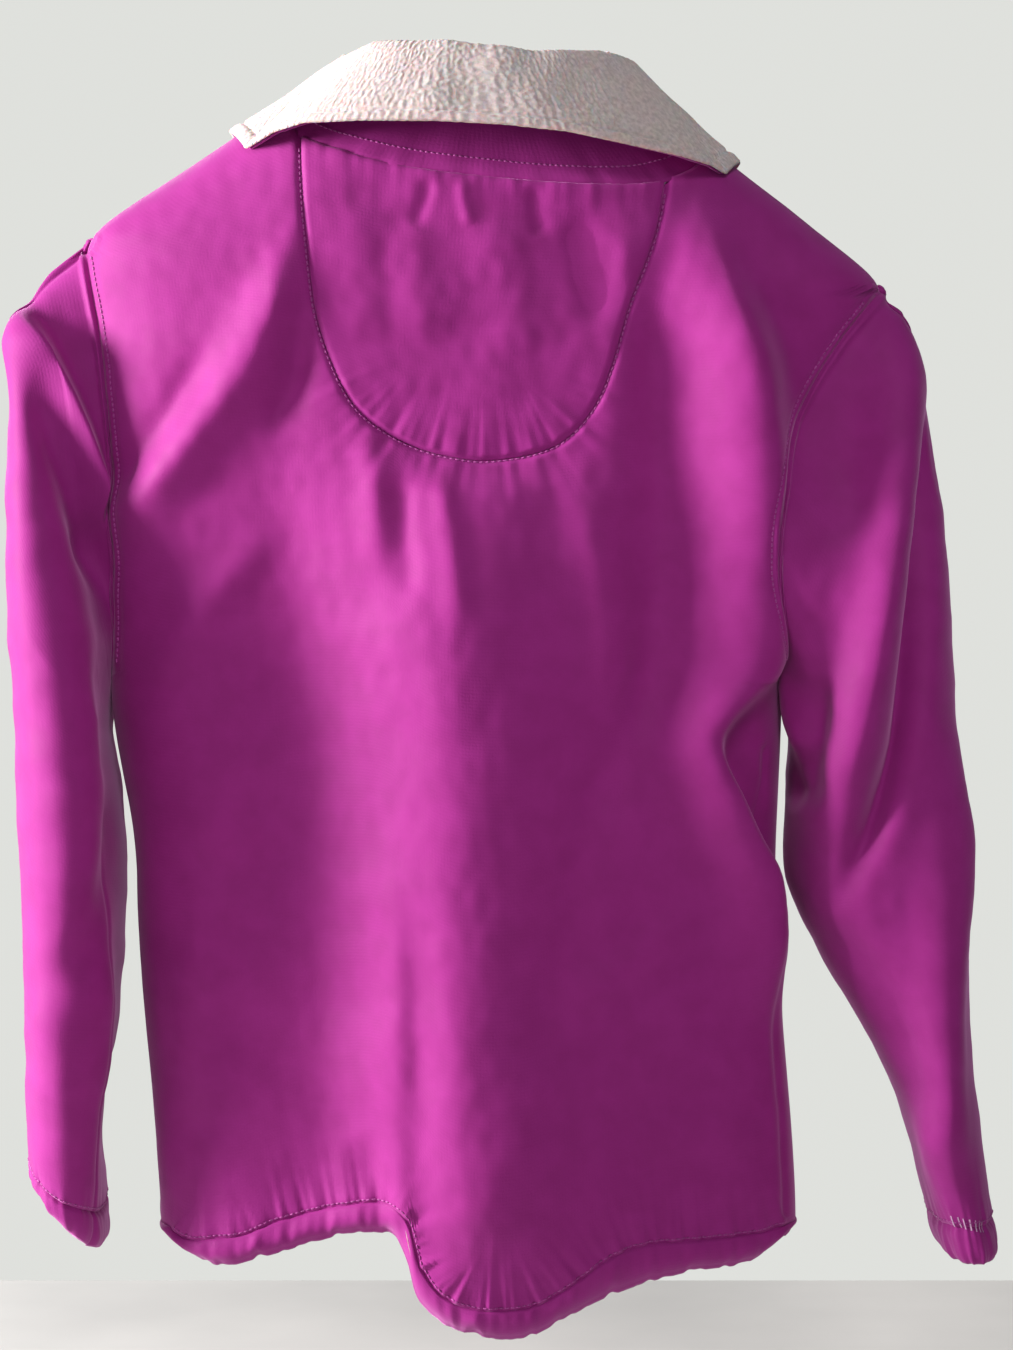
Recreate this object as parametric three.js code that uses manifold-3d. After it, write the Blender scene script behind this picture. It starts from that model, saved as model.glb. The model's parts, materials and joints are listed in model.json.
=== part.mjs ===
// A women's softshell jacket, hung up empty: body, set-in sleeves, turned-down fleece collar,
// full-length front zip, two zipped hand pockets, hems, hang loop and label.
//
// Millimetres, +Z up. The front faces -Y, the back +Y, and +X is the wearer's left.
// The origin is the point in the middle of the neck where a hanger carries the jacket.

import * as THREE from "three";
import { mergeVertices } from "three/addons/utils/BufferGeometryUtils.js";
import Module from "manifold-3d";

const wasm = await Module();
wasm.setup();

// ---------------------------------------------------------------- driving sizes

const fabric = 1.8; // bonded softshell: face, membrane and fleece back
const gap = 0.4; // air between pieces that meet at a seam
const hemFold = 1.0; // what the turned-up layer adds to a hem, half on each side
const hemHeight = 24;
const cuffHeight = 20;

const shoulderHalf = 217; // centre to shoulder point
const shoulderDrop = 80; // neck point down to shoulder point
const neckHalf = 104;
const neckRise = 16; // neck point above the origin
const backNeckDrop = 34; // neck point down to the neck seam at the centre back
const frontNeckDrop = 56;
const armholeDepth = 225; // shoulder point down to the underarm
const waistLevel = -400;
const sideLength = 616; // neck point down to the hem at the sides
const tailDrop = 54; // how much lower the hem is at the back
const tailHalf = 125;
const tailX = -12; // the tail hangs a little to the right
const frontDepth = 62; // centre plane to the front face
const backDepth = 60;
const ovalPower = 2.5; // the body's cross-section, between an ellipse and a rectangle

// The jacket hangs a little unevenly, so each side has its own hung outline.
// A sleeve station says how far the outer edge reaches past the shoulder point, its share of
// the outer length, how far the inner edge stands off the body, its share of the inner length,
// and the half depth of the sleeve there.
const left = {
  sign: 1,
  name: "left",
  underarm: 204,
  waist: 190,
  hem: 178,
  bowBack: 8, // how far the armhole seam curves in from a straight line
  bowFront: 40,
  outerLength: 498,
  innerLength: 315,
  stations: [
    [31, 0.056, 0, 0.035, 63], [41, 0.143, 0, 0.083, 66], [43, 0.303, 0, 0.146, 70],
    [40, 0.494, 0, 0.241, 70], [37, 0.675, 3, 0.416, 66], [35, 0.815, 12, 0.606, 60],
    [35, 0.936, 25, 0.781, 54], [33, 1, 25, 1, 48],
  ],
};
const right = {
  sign: -1,
  name: "right",
  underarm: 161,
  waist: 158,
  hem: 170,
  bowBack: 36,
  bowFront: 12,
  outerLength: 542,
  innerLength: 319,
  stations: [
    [19, 0.066, 0, 0.034, 54], [29, 0.149, 0, 0.078, 55], [36, 0.279, 0, 0.135, 56],
    [40, 0.435, 0, 0.229, 56], [42, 0.565, 1, 0.348, 54], [47, 0.694, 19, 0.489, 52],
    [53, 0.832, 52, 0.705, 48], [66, 1, 75, 1, 44],
  ],
};
const splitStation = 4; // the sleeve bends at the upper arm, after this many stations
const sleeveClear = 5; // sleeve to body below the underarm
const seamClear = 1.6; // sleeve to body along the armhole seam
const hangTilt = 0.06; // the shoulder line's slope
const tiltTop = -110;
const tiltEnd = -330;

const collar = {
  shell: 1.2,
  lining: 2.0,
  lift: 3.6, // its lower edge above the cut neck, so that both layers stand clear of the body
  roll: 7, // radius of the fold
  fold: { half: 78, back: 52, front: 46, side: 58, atBack: 56, atFront: 18 },
  edge: { half: 136, back: 80, front: 96, side: 12, atBack: 14, atFront: -40 },
};
const collarStart = 10; // the collar's ends from the centre front

const zip = {
  opening: 9, // centre to the front edges
  tapeWidth: 20,
  tape: 0.8,
  toothReach: 3,
  chain: 2.4,
  web: 0.7, // half of the gap between the two rows of teeth
  top: -42,
  sliderLength: 20,
  sliderHalf: 5.2,
  sliderPlate: 1.4,
  sliderRun: 0.4, // clearance of the slider around the teeth
  boxHeight: 10,
};
const pull = { length: 36, width: 9, thick: 1.6, bar: 0.9, eye: 2.4, run: 0.4 };

const pocket = {
  x: 104,
  level: -450,
  length: 145,
  slant: 12, // degrees, top towards the centre
  slotHalf: 6.5,
  endClear: 3, // chain to the slot's end
  inset: 1.2, // tape behind the fabric
  tapeWidth: 28,
  bagFrom: 30,
  bagTo: 140,
  bagBelow: 105,
  bagAbove: 85,
  bagBehind: 5.5,
};

const loop = { half: 17, stand: 7, tape: 1.2, height: 8, level: -44 };

const rows = 40; // steps round the body
const sleeveRows = 22;

// ---------------------------------------------------------------- materials

const material = (color, roughness, metalness = 0) =>
  new THREE.MeshStandardMaterial({ color, roughness, metalness });
const shell = material(0x97348a, 0.75);
const fleece = material(0xcfc2c8, 0.95);
const tapeCloth = material(0x7d2a70, 0.85);
const plastic = material(0x8a2f7c, 0.45);
const metal = material(0x6f6a70, 0.35, 0.9);
const mesh = material(0xb9aeb4, 0.9);
const label = material(0x2c2a30, 0.8);

// ---------------------------------------------------------------- small helpers

const mix = (a, b, t) => a + (b - a) * t;
const clamp01 = (t) => Math.min(1, Math.max(0, t));
const ease = (a, b, x) => {
  const t = clamp01((x - a) / (b - a));
  return t * t * (3 - 2 * t);
};
const steps = (n) => Array.from({ length: n + 1 }, (_, i) => i / n);
const soft = (c, power) => Math.sign(c) * Math.abs(c) ** (2 / power);

function volumeOf(points, faces) {
  const cross = new THREE.Vector3();
  return faces.reduce(
    (sum, [a, b, c]) => sum + points[a].dot(cross.crossVectors(points[b], points[c])) / 6,
    0,
  );
}

function geometryOf(points, faces) {
  const flipped = volumeOf(points, faces) < 0;
  const index = faces.flatMap(([a, b, c]) => (flipped ? [a, c, b] : [a, b, c]));
  const geometry = new THREE.BufferGeometry().setFromPoints(points);
  return geometry.setIndex(index);
}

// A closed solid on both sides of a surface: from lo to hi along its normal.
function layer(surface, us, vs, lo, hi, closed = false) {
  const nu = us.length;
  const nv = vs.length;
  const grid = us.map((u) => vs.map((v) => surface(u, v)));
  const at = (i, j) => grid[closed ? (i + nu) % nu : Math.min(nu - 1, Math.max(0, i))][
    Math.min(nv - 1, Math.max(0, j))
  ];
  const points = [];
  for (const offset of [lo, hi]) {
    for (let i = 0; i < nu; i++) {
      for (let j = 0; j < nv; j++) {
        const du = at(i + 1, j).clone().sub(at(i - 1, j));
        const dv = at(i, j + 1).clone().sub(at(i, j - 1));
        const normal = du.cross(dv).normalize();
        points.push(grid[i][j].clone().addScaledVector(normal, offset));
      }
    }
  }
  const id = (side, i, j) => (side * nu + (i % nu)) * nv + j;
  const faces = [];
  const quad = (a, b, c, d) => faces.push([a, b, c], [a, c, d]);
  const last = closed ? nu : nu - 1;
  for (let i = 0; i < last; i++) {
    for (let j = 0; j < nv - 1; j++) {
      quad(id(0, i, j), id(0, i, j + 1), id(0, i + 1, j + 1), id(0, i + 1, j));
      quad(id(1, i, j), id(1, i + 1, j), id(1, i + 1, j + 1), id(1, i, j + 1));
    }
    quad(id(0, i, 0), id(0, i + 1, 0), id(1, i + 1, 0), id(1, i, 0));
    quad(id(0, i, nv - 1), id(1, i, nv - 1), id(1, i + 1, nv - 1), id(0, i + 1, nv - 1));
  }
  if (!closed) {
    for (let j = 0; j < nv - 1; j++) {
      quad(id(0, 0, j), id(1, 0, j), id(1, 0, j + 1), id(0, 0, j + 1));
      quad(id(0, nu - 1, j), id(0, nu - 1, j + 1), id(1, nu - 1, j + 1), id(1, nu - 1, j));
    }
  }
  return geometryOf(points, faces);
}

function solid(geometry) {
  const bare = geometry.index ? geometry.toNonIndexed() : geometry.clone();
  const open = new THREE.BufferGeometry().setAttribute("position", bare.getAttribute("position"));
  const merged = mergeVertices(open, 1e-4);
  return new wasm.Manifold(
    new wasm.Mesh({
      numProp: 3,
      vertProperties: merged.attributes.position.array,
      triVerts: new Uint32Array(merged.index.array),
    }),
  );
}

function geometryFrom(body) {
  const made = body.getMesh();
  const count = made.numVert;
  const flat = new Float32Array(count * 3);
  for (let i = 0; i < count; i++) {
    flat.set(made.vertProperties.subarray(i * made.numProp, i * made.numProp + 3), i * 3);
  }
  const geometry = new THREE.BufferGeometry();
  geometry.setAttribute("position", new THREE.BufferAttribute(flat, 3));
  return geometry.setIndex(new THREE.BufferAttribute(made.triVerts, 1));
}

// A straight prism over an outline in the XZ plane, from one depth to another.
function prismXZ(outline, fromY, toY) {
  const shape = new THREE.Shape(outline.map(([x, z]) => new THREE.Vector2(x, z)));
  const geometry = new THREE.ExtrudeGeometry(shape, { depth: toY - fromY, bevelEnabled: false });
  // The extrusion runs along +Z, so it is turned to run along -Y and moved into place.
  return solid(geometry.rotateX(Math.PI / 2).translate(0, toY, 0));
}

// The same over an outline in the YZ plane, across the whole width.
function prismYZ(outline, halfWidth) {
  const shape = new THREE.Shape(outline.map(([y, z]) => new THREE.Vector2(y, z)));
  const geometry = new THREE.ExtrudeGeometry(shape, { depth: 2 * halfWidth, bevelEnabled: false });
  geometry.rotateX(Math.PI / 2).rotateZ(Math.PI / 2);
  return solid(geometry.translate(-halfWidth, 0, 0));
}

const box = (x0, x1, y0, y1, z0, z1) =>
  new THREE.BoxGeometry(x1 - x0, y1 - y0, z1 - z0)
    .translate((x0 + x1) / 2, (y0 + y1) / 2, (z0 + z1) / 2);

// The shoulders slope, so cloth near them is sheared; cloth below the chest isn't.
function hang(geometry) {
  const at = geometry.getAttribute("position");
  for (let i = 0; i < at.count; i++) {
    at.setZ(i, at.getZ(i) + hangTilt * at.getX(i) * ease(tiltEnd, tiltTop, at.getZ(i)));
  }
  return geometry;
}

const root = new THREE.Group();

function add(name, geometry, finish, parent = root) {
  const made = new THREE.Mesh(geometry, finish);
  made.name = name;
  parent.add(made);
  return made;
}

// ---------------------------------------------------------------- the body's surface

const tipLevel = neckRise - shoulderDrop;
const underarmLevel = tipLevel - armholeDepth;
const sideHemLevel = neckRise - sideLength;
const reachBelow = 40; // the body surface runs past the hem, and is cut there

function halfWidth(side, z) {
  if (z > tipLevel) {
    const share = (z - tipLevel) / shoulderDrop;
    return mix(shoulderHalf, neckHalf, share);
  }
  if (z > underarmLevel) {
    return mix(shoulderHalf, side.underarm, (tipLevel - z) / armholeDepth);
  }
  if (z > waistLevel) {
    return mix(side.waist, side.underarm, ease(waistLevel, underarmLevel, z));
  }
  return mix(side.hem, side.waist, ease(sideHemLevel, waistLevel, z));
}

const sideAt = (x) => (x >= 0 ? left : right);

// A point of the body: turn 0 is the left side, 90 degrees the back, 270 the front.
function bodyPoint(turn, z) {
  const c = Math.cos(turn);
  const s = Math.sin(turn);
  const depth = s >= 0 ? backDepth : frontDepth;
  return new THREE.Vector3(
    soft(c, ovalPower) * halfWidth(sideAt(c), z),
    soft(s, ovalPower) * depth,
    z,
  );
}

// How deep the body is at x, from its centre plane, at the back or the front.
function depthAt(x, z, depth) {
  const share = Math.min(1, Math.abs(x) / halfWidth(sideAt(x), z));
  return depth * (1 - share ** ovalPower) ** (1 / ovalPower);
}

// The turn at which the body's front or back reaches x.
function turnAt(x, z, front) {
  const share = Math.min(1, Math.abs(x) / halfWidth(sideAt(x), z)) ** (ovalPower / 2);
  const turn = Math.acos(Math.sign(x) * share);
  return front ? -turn : turn;
}

const lowest = sideHemLevel - tailDrop - reachBelow;
const highest = neckRise + reachBelow / 2;
const levels = [
  lowest, sideHemLevel, mix(sideHemLevel, waistLevel, 0.5), waistLevel,
  mix(waistLevel, underarmLevel, 0.5), underarmLevel,
  ...[0.25, 0.5, 0.75].map((t) => mix(underarmLevel, tipLevel, t)),
  tipLevel, mix(tipLevel, neckRise, 0.5), neckRise, highest,
];
const turns = Array.from({ length: rows }, (_, i) => (i / rows) * 2 * Math.PI);
const bodyShell = (lo, hi) => solid(layer(bodyPoint, turns, levels, lo, hi, true));

const cloth = bodyShell(0, fabric);
const hemCloth = bodyShell(-hemFold / 2, fabric + hemFold / 2);

// ---------------------------------------------------------------- where the cloth is cut

// The neck seam falls from the shoulders to the centre back and the centre front.
const neckLevel = (y) =>
  neckRise - (y > 0 ? backNeckDrop * (y / backDepth) ** 2 : frontNeckDrop * (y / frontDepth) ** 2);

function neckCutter() {
  const ys = steps(16).map((t) => mix(-frontDepth - 20, backDepth + 20, t));
  const curve = ys.map((y) => [y, neckLevel(Math.max(-frontDepth, Math.min(backDepth, y)))]);
  const roof = highest + 20;
  return prismYZ([...curve, [backDepth + 20, roof], [-frontDepth - 20, roof]], 400);
}

// The hem is level in front and at the sides, and drops to a rounded tail behind.
const hemLevel = (x, back) => {
  const share = clamp01(1 - Math.abs(x - tailX) / tailHalf);
  return sideHemLevel - (back ? tailDrop * ease(0, 1, share) : 0);
};

// Everything lower than the hem line raised by lift.
function belowHem(back, lift) {
  const xs = steps(24).map((t) => mix(-300, 300, t));
  const curve = xs.map((x) => [x, hemLevel(x, back) + lift]);
  const floor = lowest - 20;
  const [from, to] = back ? [0, 200] : [-200, 0];
  return prismXZ([...curve, [300, floor], [-300, floor]], from, to);
}

// The armhole seam, as x at a level, for one side's back or front.
function armholeX(side, z, back) {
  const t = clamp01((tipLevel - z) / armholeDepth);
  const bow = back ? side.bowBack : side.bowFront;
  return mix(shoulderHalf, side.underarm, t) - bow * Math.sin(Math.PI * t) ** 0.8;
}

// The seam has a corner at each row of the sleeve, so that both pieces follow the same line.
const seamLevel = (turn) => mix(tipLevel, underarmLevel, (1 - Math.cos(turn)) / 2);

function armholeCutter(side, back) {
  const corners = steps(sleeveRows / 2).map((t) => seamLevel(Math.PI * t));
  const edge = corners.map((z) => [side.sign * armholeX(side, z, back), z]);
  const out = side.sign * 400;
  const [from, to] = back ? [0, 200] : [-200, 0];
  return prismXZ([...edge, [out, underarmLevel], [out, tipLevel]], from, to);
}

const half = (back) =>
  solid(box(-400, 400, back ? gap / 2 : -200, back ? 200 : -gap / 2, lowest - 10, highest + 10));

function clothHalf(body, back) {
  return body
    .intersect(half(back))
    .subtract(neckCutter())
    .subtract(armholeCutter(left, back))
    .subtract(armholeCutter(right, back));
}

// ---------------------------------------------------------------- pockets' places

// A frame that lies on the front at a pocket's middle: its Z runs up the zip, its -Y out.
function pocketFrame(side) {
  const x = side.sign * pocket.x;
  const step = 4;
  const y = (at) => -depthAt(at, pocket.level, frontDepth);
  const yaw = Math.atan2(y(x + step) - y(x - step), 2 * step);
  const group = new THREE.Group();
  group.position.set(x, y(x), pocket.level);
  const slant = new THREE.Quaternion().setFromAxisAngle(
    new THREE.Vector3(0, 1, 0),
    -side.sign * THREE.MathUtils.degToRad(pocket.slant),
  );
  group.quaternion.setFromAxisAngle(new THREE.Vector3(0, 0, 1), yaw).multiply(slant);
  group.updateMatrix();
  root.add(group);
  return group;
}
left.pocket = pocketFrame(left);
right.pocket = pocketFrame(right);

const pocketSlot = (side) =>
  solid(
    box(-pocket.slotHalf, pocket.slotHalf, -12, 12, -pocket.length / 2, pocket.length / 2)
      .applyMatrix4(side.pocket.matrix),
  );

// ---------------------------------------------------------------- body panels

// The yoke is a shield on the upper back: straight sides that run into a half round.
const yoke = { top: 24, half: 100, waist: 96, straight: -75, bottom: -172 };

function yokeOutline(grow) {
  const w = yoke.waist + grow;
  const round = steps(16).map((t) => {
    const a = Math.PI * t;
    return [w * Math.cos(a), yoke.straight - (yoke.straight - yoke.bottom + grow) * Math.sin(a)];
  });
  return [[yoke.half + grow, yoke.top], ...round, [-yoke.half - grow, yoke.top]];
}

const backCloth = clothHalf(cloth, true);
const backAboveHem = backCloth.subtract(belowHem(true, hemHeight + gap));
const yokeHole = prismXZ(yokeOutline(gap), 0, 200);
const outward = (z) => z - neckRise;

add("back_panel", hang(geometryFrom(largest(backAboveHem.subtract(yokeHole)))), shell);
add("back_yoke", hang(geometryFrom(backCloth.intersect(prismXZ(yokeOutline(0), 0, 200)))), shell);

function largest(body) {
  return body.decompose().sort((a, b) => b.volume() - a.volume())[0];
}

const frontCloth = clothHalf(cloth, false).subtract(belowHem(false, hemHeight + gap));
const frontSide = (side) => {
  const near = side.sign * zip.opening;
  const far = side.sign * 400;
  return solid(
    box(Math.min(near, far), Math.max(near, far), -200, 0, lowest - 10, highest + 10),
  );
};
for (const side of [left, right]) {
  const panel = frontCloth.intersect(frontSide(side)).subtract(pocketSlot(side));
  add(`${side.name}_front_panel`, hang(geometryFrom(largest(panel))), shell);
}

// ---------------------------------------------------------------- hems of the body

function hemBand(back) {
  return clothHalf(hemCloth, back).intersect(belowHem(back, hemHeight)).subtract(belowHem(back, 0));
}
add("back_hem", geometryFrom(hemBand(true)), shell);
for (const side of [left, right]) {
  add(`${side.name}_front_hem`, geometryFrom(hemBand(false).intersect(frontSide(side))), shell);
}

// ---------------------------------------------------------------- collar

// The neck seam, by turn.
function neckSeam(turn) {
  const s = Math.sin(turn);
  const y = soft(s, ovalPower) * (s >= 0 ? backDepth : frontDepth);
  const z = neckLevel(y);
  const c = Math.cos(turn);
  return new THREE.Vector3(soft(c, ovalPower) * halfWidth(sideAt(c), z), y, z + collar.lift);
}

// An oval of the collar at a turn. Its ends open wider than the seam's as spread shrinks.
function collarOval(oval, turn, spread) {
  const a = Math.PI / 2 + (turn - Math.PI / 2) * spread;
  const s = Math.sin(a);
  const level = s >= 0 ? oval.atBack : oval.atFront;
  return new THREE.Vector3(
    soft(Math.cos(a), ovalPower) * oval.half,
    soft(s, ovalPower) * (s >= 0 ? oval.back : oval.front),
    mix(oval.side, level, s * s),
  );
}

// The collar's section at a turn: up the stand, over the roll and down the fall.
function collarSection(turn) {
  const seam = neckSeam(turn);
  const edge = collarOval(collar.edge, turn, 0.8);
  const fold = collarOval(collar.fold, turn, 0.92);
  const out = new THREE.Vector3(edge.x - fold.x, edge.y - fold.y, 0).normalize();
  const up = new THREE.Vector3(0, 0, 1);
  const centre = fold.clone().addScaledVector(up, -collar.roll);
  const around = (degrees) => {
    const a = THREE.MathUtils.degToRad(degrees);
    return centre.clone()
      .addScaledVector(out, collar.roll * Math.cos(a))
      .addScaledVector(up, collar.roll * Math.sin(a));
  };
  const inner = around(190);
  const outer = around(40);
  return [
    seam, seam.clone().lerp(inner, 0.5), inner, around(140), around(90), outer,
    outer.clone().lerp(edge, 0.5), edge,
  ];
}

const frontNeckWidth = halfWidth(left, neckRise - frontNeckDrop);
const endTurn = Math.acos((collarStart / frontNeckWidth) ** (ovalPower / 2));
const collarTurns = steps(36).map((t) => mix(-endTurn, Math.PI + endTurn, t));
const sections = new Map(collarTurns.map((turn) => [turn, collarSection(turn)]));
const sectionSteps = Array.from({ length: 8 }, (_, i) => i);
const collarSurface = (turn, k) => sections.get(turn)[k].clone();

add(
  "collar_shell",
  hang(layer(collarSurface, collarTurns, sectionSteps, gap / 2, gap / 2 + collar.shell)),
  shell,
);
add(
  "collar_lining",
  hang(layer(collarSurface, collarTurns, sectionSteps, -gap / 2 - collar.lining, -gap / 2)),
  fleece,
);

// Above the slider each half of the zip follows its end of the collar.
const collarZipWidth = 6;
for (const [side, at] of [[left, 0], [right, collarTurns.length - 1]]) {
  const end = sections.get(collarTurns[at]);
  const next = sections.get(collarTurns[at === 0 ? 1 : at - 1]);
  const strip = (across, k) =>
    end[k].clone().addScaledVector(end[k].clone().sub(next[k]).normalize(), across);
  add(
    `${side.name}_collar_zip`,
    hang(layer(strip, [gap + 0.2, collarZipWidth], sectionSteps, -zip.tape / 2, zip.tape / 2)),
    tapeCloth,
  );
  const stopAt = strip(collarZipWidth / 2, 7);
  const along = stopAt.clone().sub(strip(collarZipWidth / 2, 6)).normalize();
  const stop = new THREE.Mesh(box(-2, 2, -1.2, 1.2, 0, 3), metal);
  stop.name = `${side.name}_top_stop`;
  stop.position.copy(stopAt.addScaledVector(along, gap + 0.4));
  stop.position.z += hangTilt * stop.position.x;
  stop.quaternion.setFromUnitVectors(new THREE.Vector3(0, 0, 1), along);
  root.add(stop);
}

// ---------------------------------------------------------------- sleeves

const sleeveTurns = Array.from({ length: sleeveRows }, (_, i) => (i / sleeveRows) * 2 * Math.PI);

// A sleeve runs between an outer and an inner edge. Its first ring is the armhole seam.
function sleeveSurface(side) {
  const outerEdge = side.stations.map(
    ([reach, share]) => [shoulderHalf + reach, tipLevel - share * side.outerLength],
  );
  const innerEdge = side.stations.map(([, , off, share]) => {
    const z = underarmLevel - share * side.innerLength;
    return [halfWidth(side, z) + fabric + sleeveClear + off, z];
  });
  const curve = (start, points) =>
    new THREE.CatmullRomCurve3(
      [start, ...points].map(([x, z]) => new THREE.Vector3(side.sign * x, 0, z)),
    );
  const outer = curve([shoulderHalf + fabric + seamClear, tipLevel], outerEdge);
  const inner = curve([side.underarm + fabric + sleeveClear, underarmLevel], innerEdge);
  const count = side.stations.length;
  const halfDepth = (s) => {
    const at = s * count;
    const k = Math.min(count - 1, Math.floor(at));
    const from = side.stations[Math.max(0, k - 1)][4];
    return mix(from, side.stations[k][4], at - k);
  };
  const oval = (turn, s) => {
    const o = outer.getPoint(s);
    const i = inner.getPoint(s);
    return o.clone().add(i).multiplyScalar(0.5)
      .addScaledVector(o.sub(i).multiplyScalar(0.5), soft(Math.cos(turn), 2.2))
      .add(new THREE.Vector3(0, halfDepth(s) * soft(Math.sin(turn), 2.2), 0));
  };
  const seam = (turn) => {
    const back = Math.sin(turn) >= 0;
    const z = seamLevel(turn);
    const x = armholeX(side, z, back);
    const y = depthAt(x, z, back ? backDepth + fabric : frontDepth + fabric);
    const ends = Math.max(
      fabric * ease(tipLevel - 30, tipLevel, z),
      (sleeveClear + fabric - seamClear) * ease(underarmLevel + 60, underarmLevel, z),
    );
    return new THREE.Vector3(side.sign * (x + seamClear + ends), back ? y : -y, z);
  };
  const settled = (splitStation - 1) / count;
  return (turn, s) => {
    const fade = 1 - ease(0, settled, s);
    const toSeam = seam(turn).sub(oval(turn, 0)).multiplyScalar(fade);
    return oval(turn, s).add(toSeam);
  };
}

for (const side of [left, right]) {
  const surface = sleeveSurface(side);
  const count = side.stations.length;
  const lastRun = (1 - side.stations[count - 2][3]) * side.innerLength;
  const cuffFrom = 1 - cuffHeight / (lastRun * count);
  const seamGap = gap / (lastRun * count);
  const split = splitStation / count;
  const stretch = (from, to, n) => steps(n).map((t) => mix(from, to, t));
  const wall = side.sign > 0 ? [-fabric, 0] : [0, fabric];
  const tube = (vs, lo, hi) => hang(layer(surface, sleeveTurns, vs, lo, hi, true));
  add(`${side.name}_sleeve_head`, tube(stretch(0, split - seamGap, 8), ...wall), shell);
  add(`${side.name}_sleeve`, tube(stretch(split + seamGap, cuffFrom - seamGap, 7), ...wall), shell);
  const grow = hemFold / 2;
  const band = tube(stretch(cuffFrom + seamGap, 1, 2), wall[0] - grow, wall[1] + grow);
  add(`${side.name}_cuff_hem`, band, shell);
}

// ---------------------------------------------------------------- front zip

const zipFace = -frontDepth; // inner side of the front panels at the centre
const tapeFrom = zipFace + hemFold / 2 + 2 * gap;
const zipBottom = sideHemLevel + 4;

// A straight run of zip beside x = 0, from low to high: the tape and its row of teeth.
function zipHalf(sign, low, high, name) {
  const inner = sign * (zip.web + 0.6);
  const outer = sign * zip.tapeWidth;
  const [x0, x1] = [Math.min(inner, outer), Math.max(inner, outer)];
  const teeth = [sign * zip.web, sign * zip.toothReach].sort((a, b) => a - b);
  const middle = tapeFrom + zip.tape / 2;
  const bead = box(...teeth, middle - zip.chain / 2, middle + zip.chain / 2, low, high);
  const strip = solid(box(x0, x1, tapeFrom, tapeFrom + zip.tape, low, high));
  const cut = solid(
    box(teeth[0] - gap, teeth[1] + gap, tapeFrom - 3, tapeFrom + 3, low - 1, high + 1),
  );
  add(`${name}_zip_tape`, geometryFrom(strip.subtract(cut)), tapeCloth);
  add(`${name}_zip_chain`, bead, plastic);
}
zipHalf(1, zipBottom + zip.boxHeight + gap, zip.top, "left");
zipHalf(-1, zipBottom + zip.boxHeight + gap, zip.top, "right");

add("zip_box", box(0.3, 5, tapeFrom - 1.4, tapeFrom + 2.2, zipBottom, zipBottom + zip.boxHeight), metal);
add("zip_pin", box(-2.2, -0.3, tapeFrom - 0.8, tapeFrom + 1.6, zipBottom, zipBottom + zip.boxHeight), metal);

// A slider is two plates joined by a thin web that runs between the rows of teeth.
function sliderSolid() {
  const reach = zip.chain / 2 + zip.sliderRun;
  const plate = zip.sliderPlate;
  const h = zip.sliderLength / 2;
  const w = zip.sliderHalf;
  const front = solid(box(-w, w, -reach - plate, -reach, -h, h));
  const back = solid(box(-w, w, reach, reach + plate, -h, h));
  const webHalf = zip.web - 0.35;
  const web = solid(box(-webHalf, webHalf, -reach - 0.2, reach + 0.2, -h, h));
  const barY = -reach - plate - pull.eye - 0.6;
  const lug = (x) => solid(box(x - 0.6, x + 0.6, barY - 1.4, -reach - 0.5, 2, 7));
  const bar = solid(
    new THREE.CylinderGeometry(pull.bar, pull.bar, 8, 12).rotateZ(Math.PI / 2)
      .translate(0, barY, 4.5),
  );
  const made = [back, web, lug(3.6), lug(-3.6), bar].reduce((a, b) => a.add(b), front);
  return { made, barY, barZ: 4.5 };
}

// A pull: an eye round the slider's bar and a tab that hangs from it.
function pullSolid(length) {
  const tabHalf = pull.thick / 2;
  const eye = solid(
    new THREE.CylinderGeometry(pull.eye, pull.eye, 5, 16).rotateZ(Math.PI / 2),
  );
  const hole = solid(
    new THREE.CylinderGeometry(pull.bar + pull.run, pull.bar + pull.run, 9, 16).rotateZ(Math.PI / 2),
  );
  const neck = solid(box(-2.4, 2.4, -tabHalf, tabHalf, -9, -1.5));
  const w = pull.width / 2;
  const outline = new THREE.Shape();
  outline.moveTo(-2.4, -8);
  outline.lineTo(2.4, -8);
  outline.lineTo(w, -12);
  outline.lineTo(w, -length + w);
  outline.absarc(0, -length + w, w, 0, -Math.PI, true);
  outline.lineTo(-w, -12);
  const tab = solid(
    new THREE.ExtrudeGeometry(outline, { depth: pull.thick, bevelEnabled: false, curveSegments: 8 })
      .rotateX(Math.PI / 2).translate(0, tabHalf, 0),
  );
  return eye.add(neck).add(tab).subtract(hole);
}

const slider = sliderSolid();
const tapeMiddle = tapeFrom + zip.tape / 2;
const mainSlider = new THREE.Group();
mainSlider.position.set(0, tapeMiddle, zip.top - 2 - zip.sliderLength / 2);
root.add(mainSlider);
add("zip_slider", geometryFrom(slider.made), metal, mainSlider);
add("zip_pull", geometryFrom(pullSolid(pull.length)), plastic, mainSlider)
  .position.set(0, slider.barY, slider.barZ);

// A strip inside the front, behind the zip, from the hem to the neck.
const flapHalf = 26;
const flapBehind = 7;
add(
  "storm_flap",
  box(-flapHalf, flapHalf, zipFace + flapBehind, zipFace + flapBehind + 1.4, zipBottom, zip.top),
  shell,
);

// ---------------------------------------------------------------- hand pockets

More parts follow.
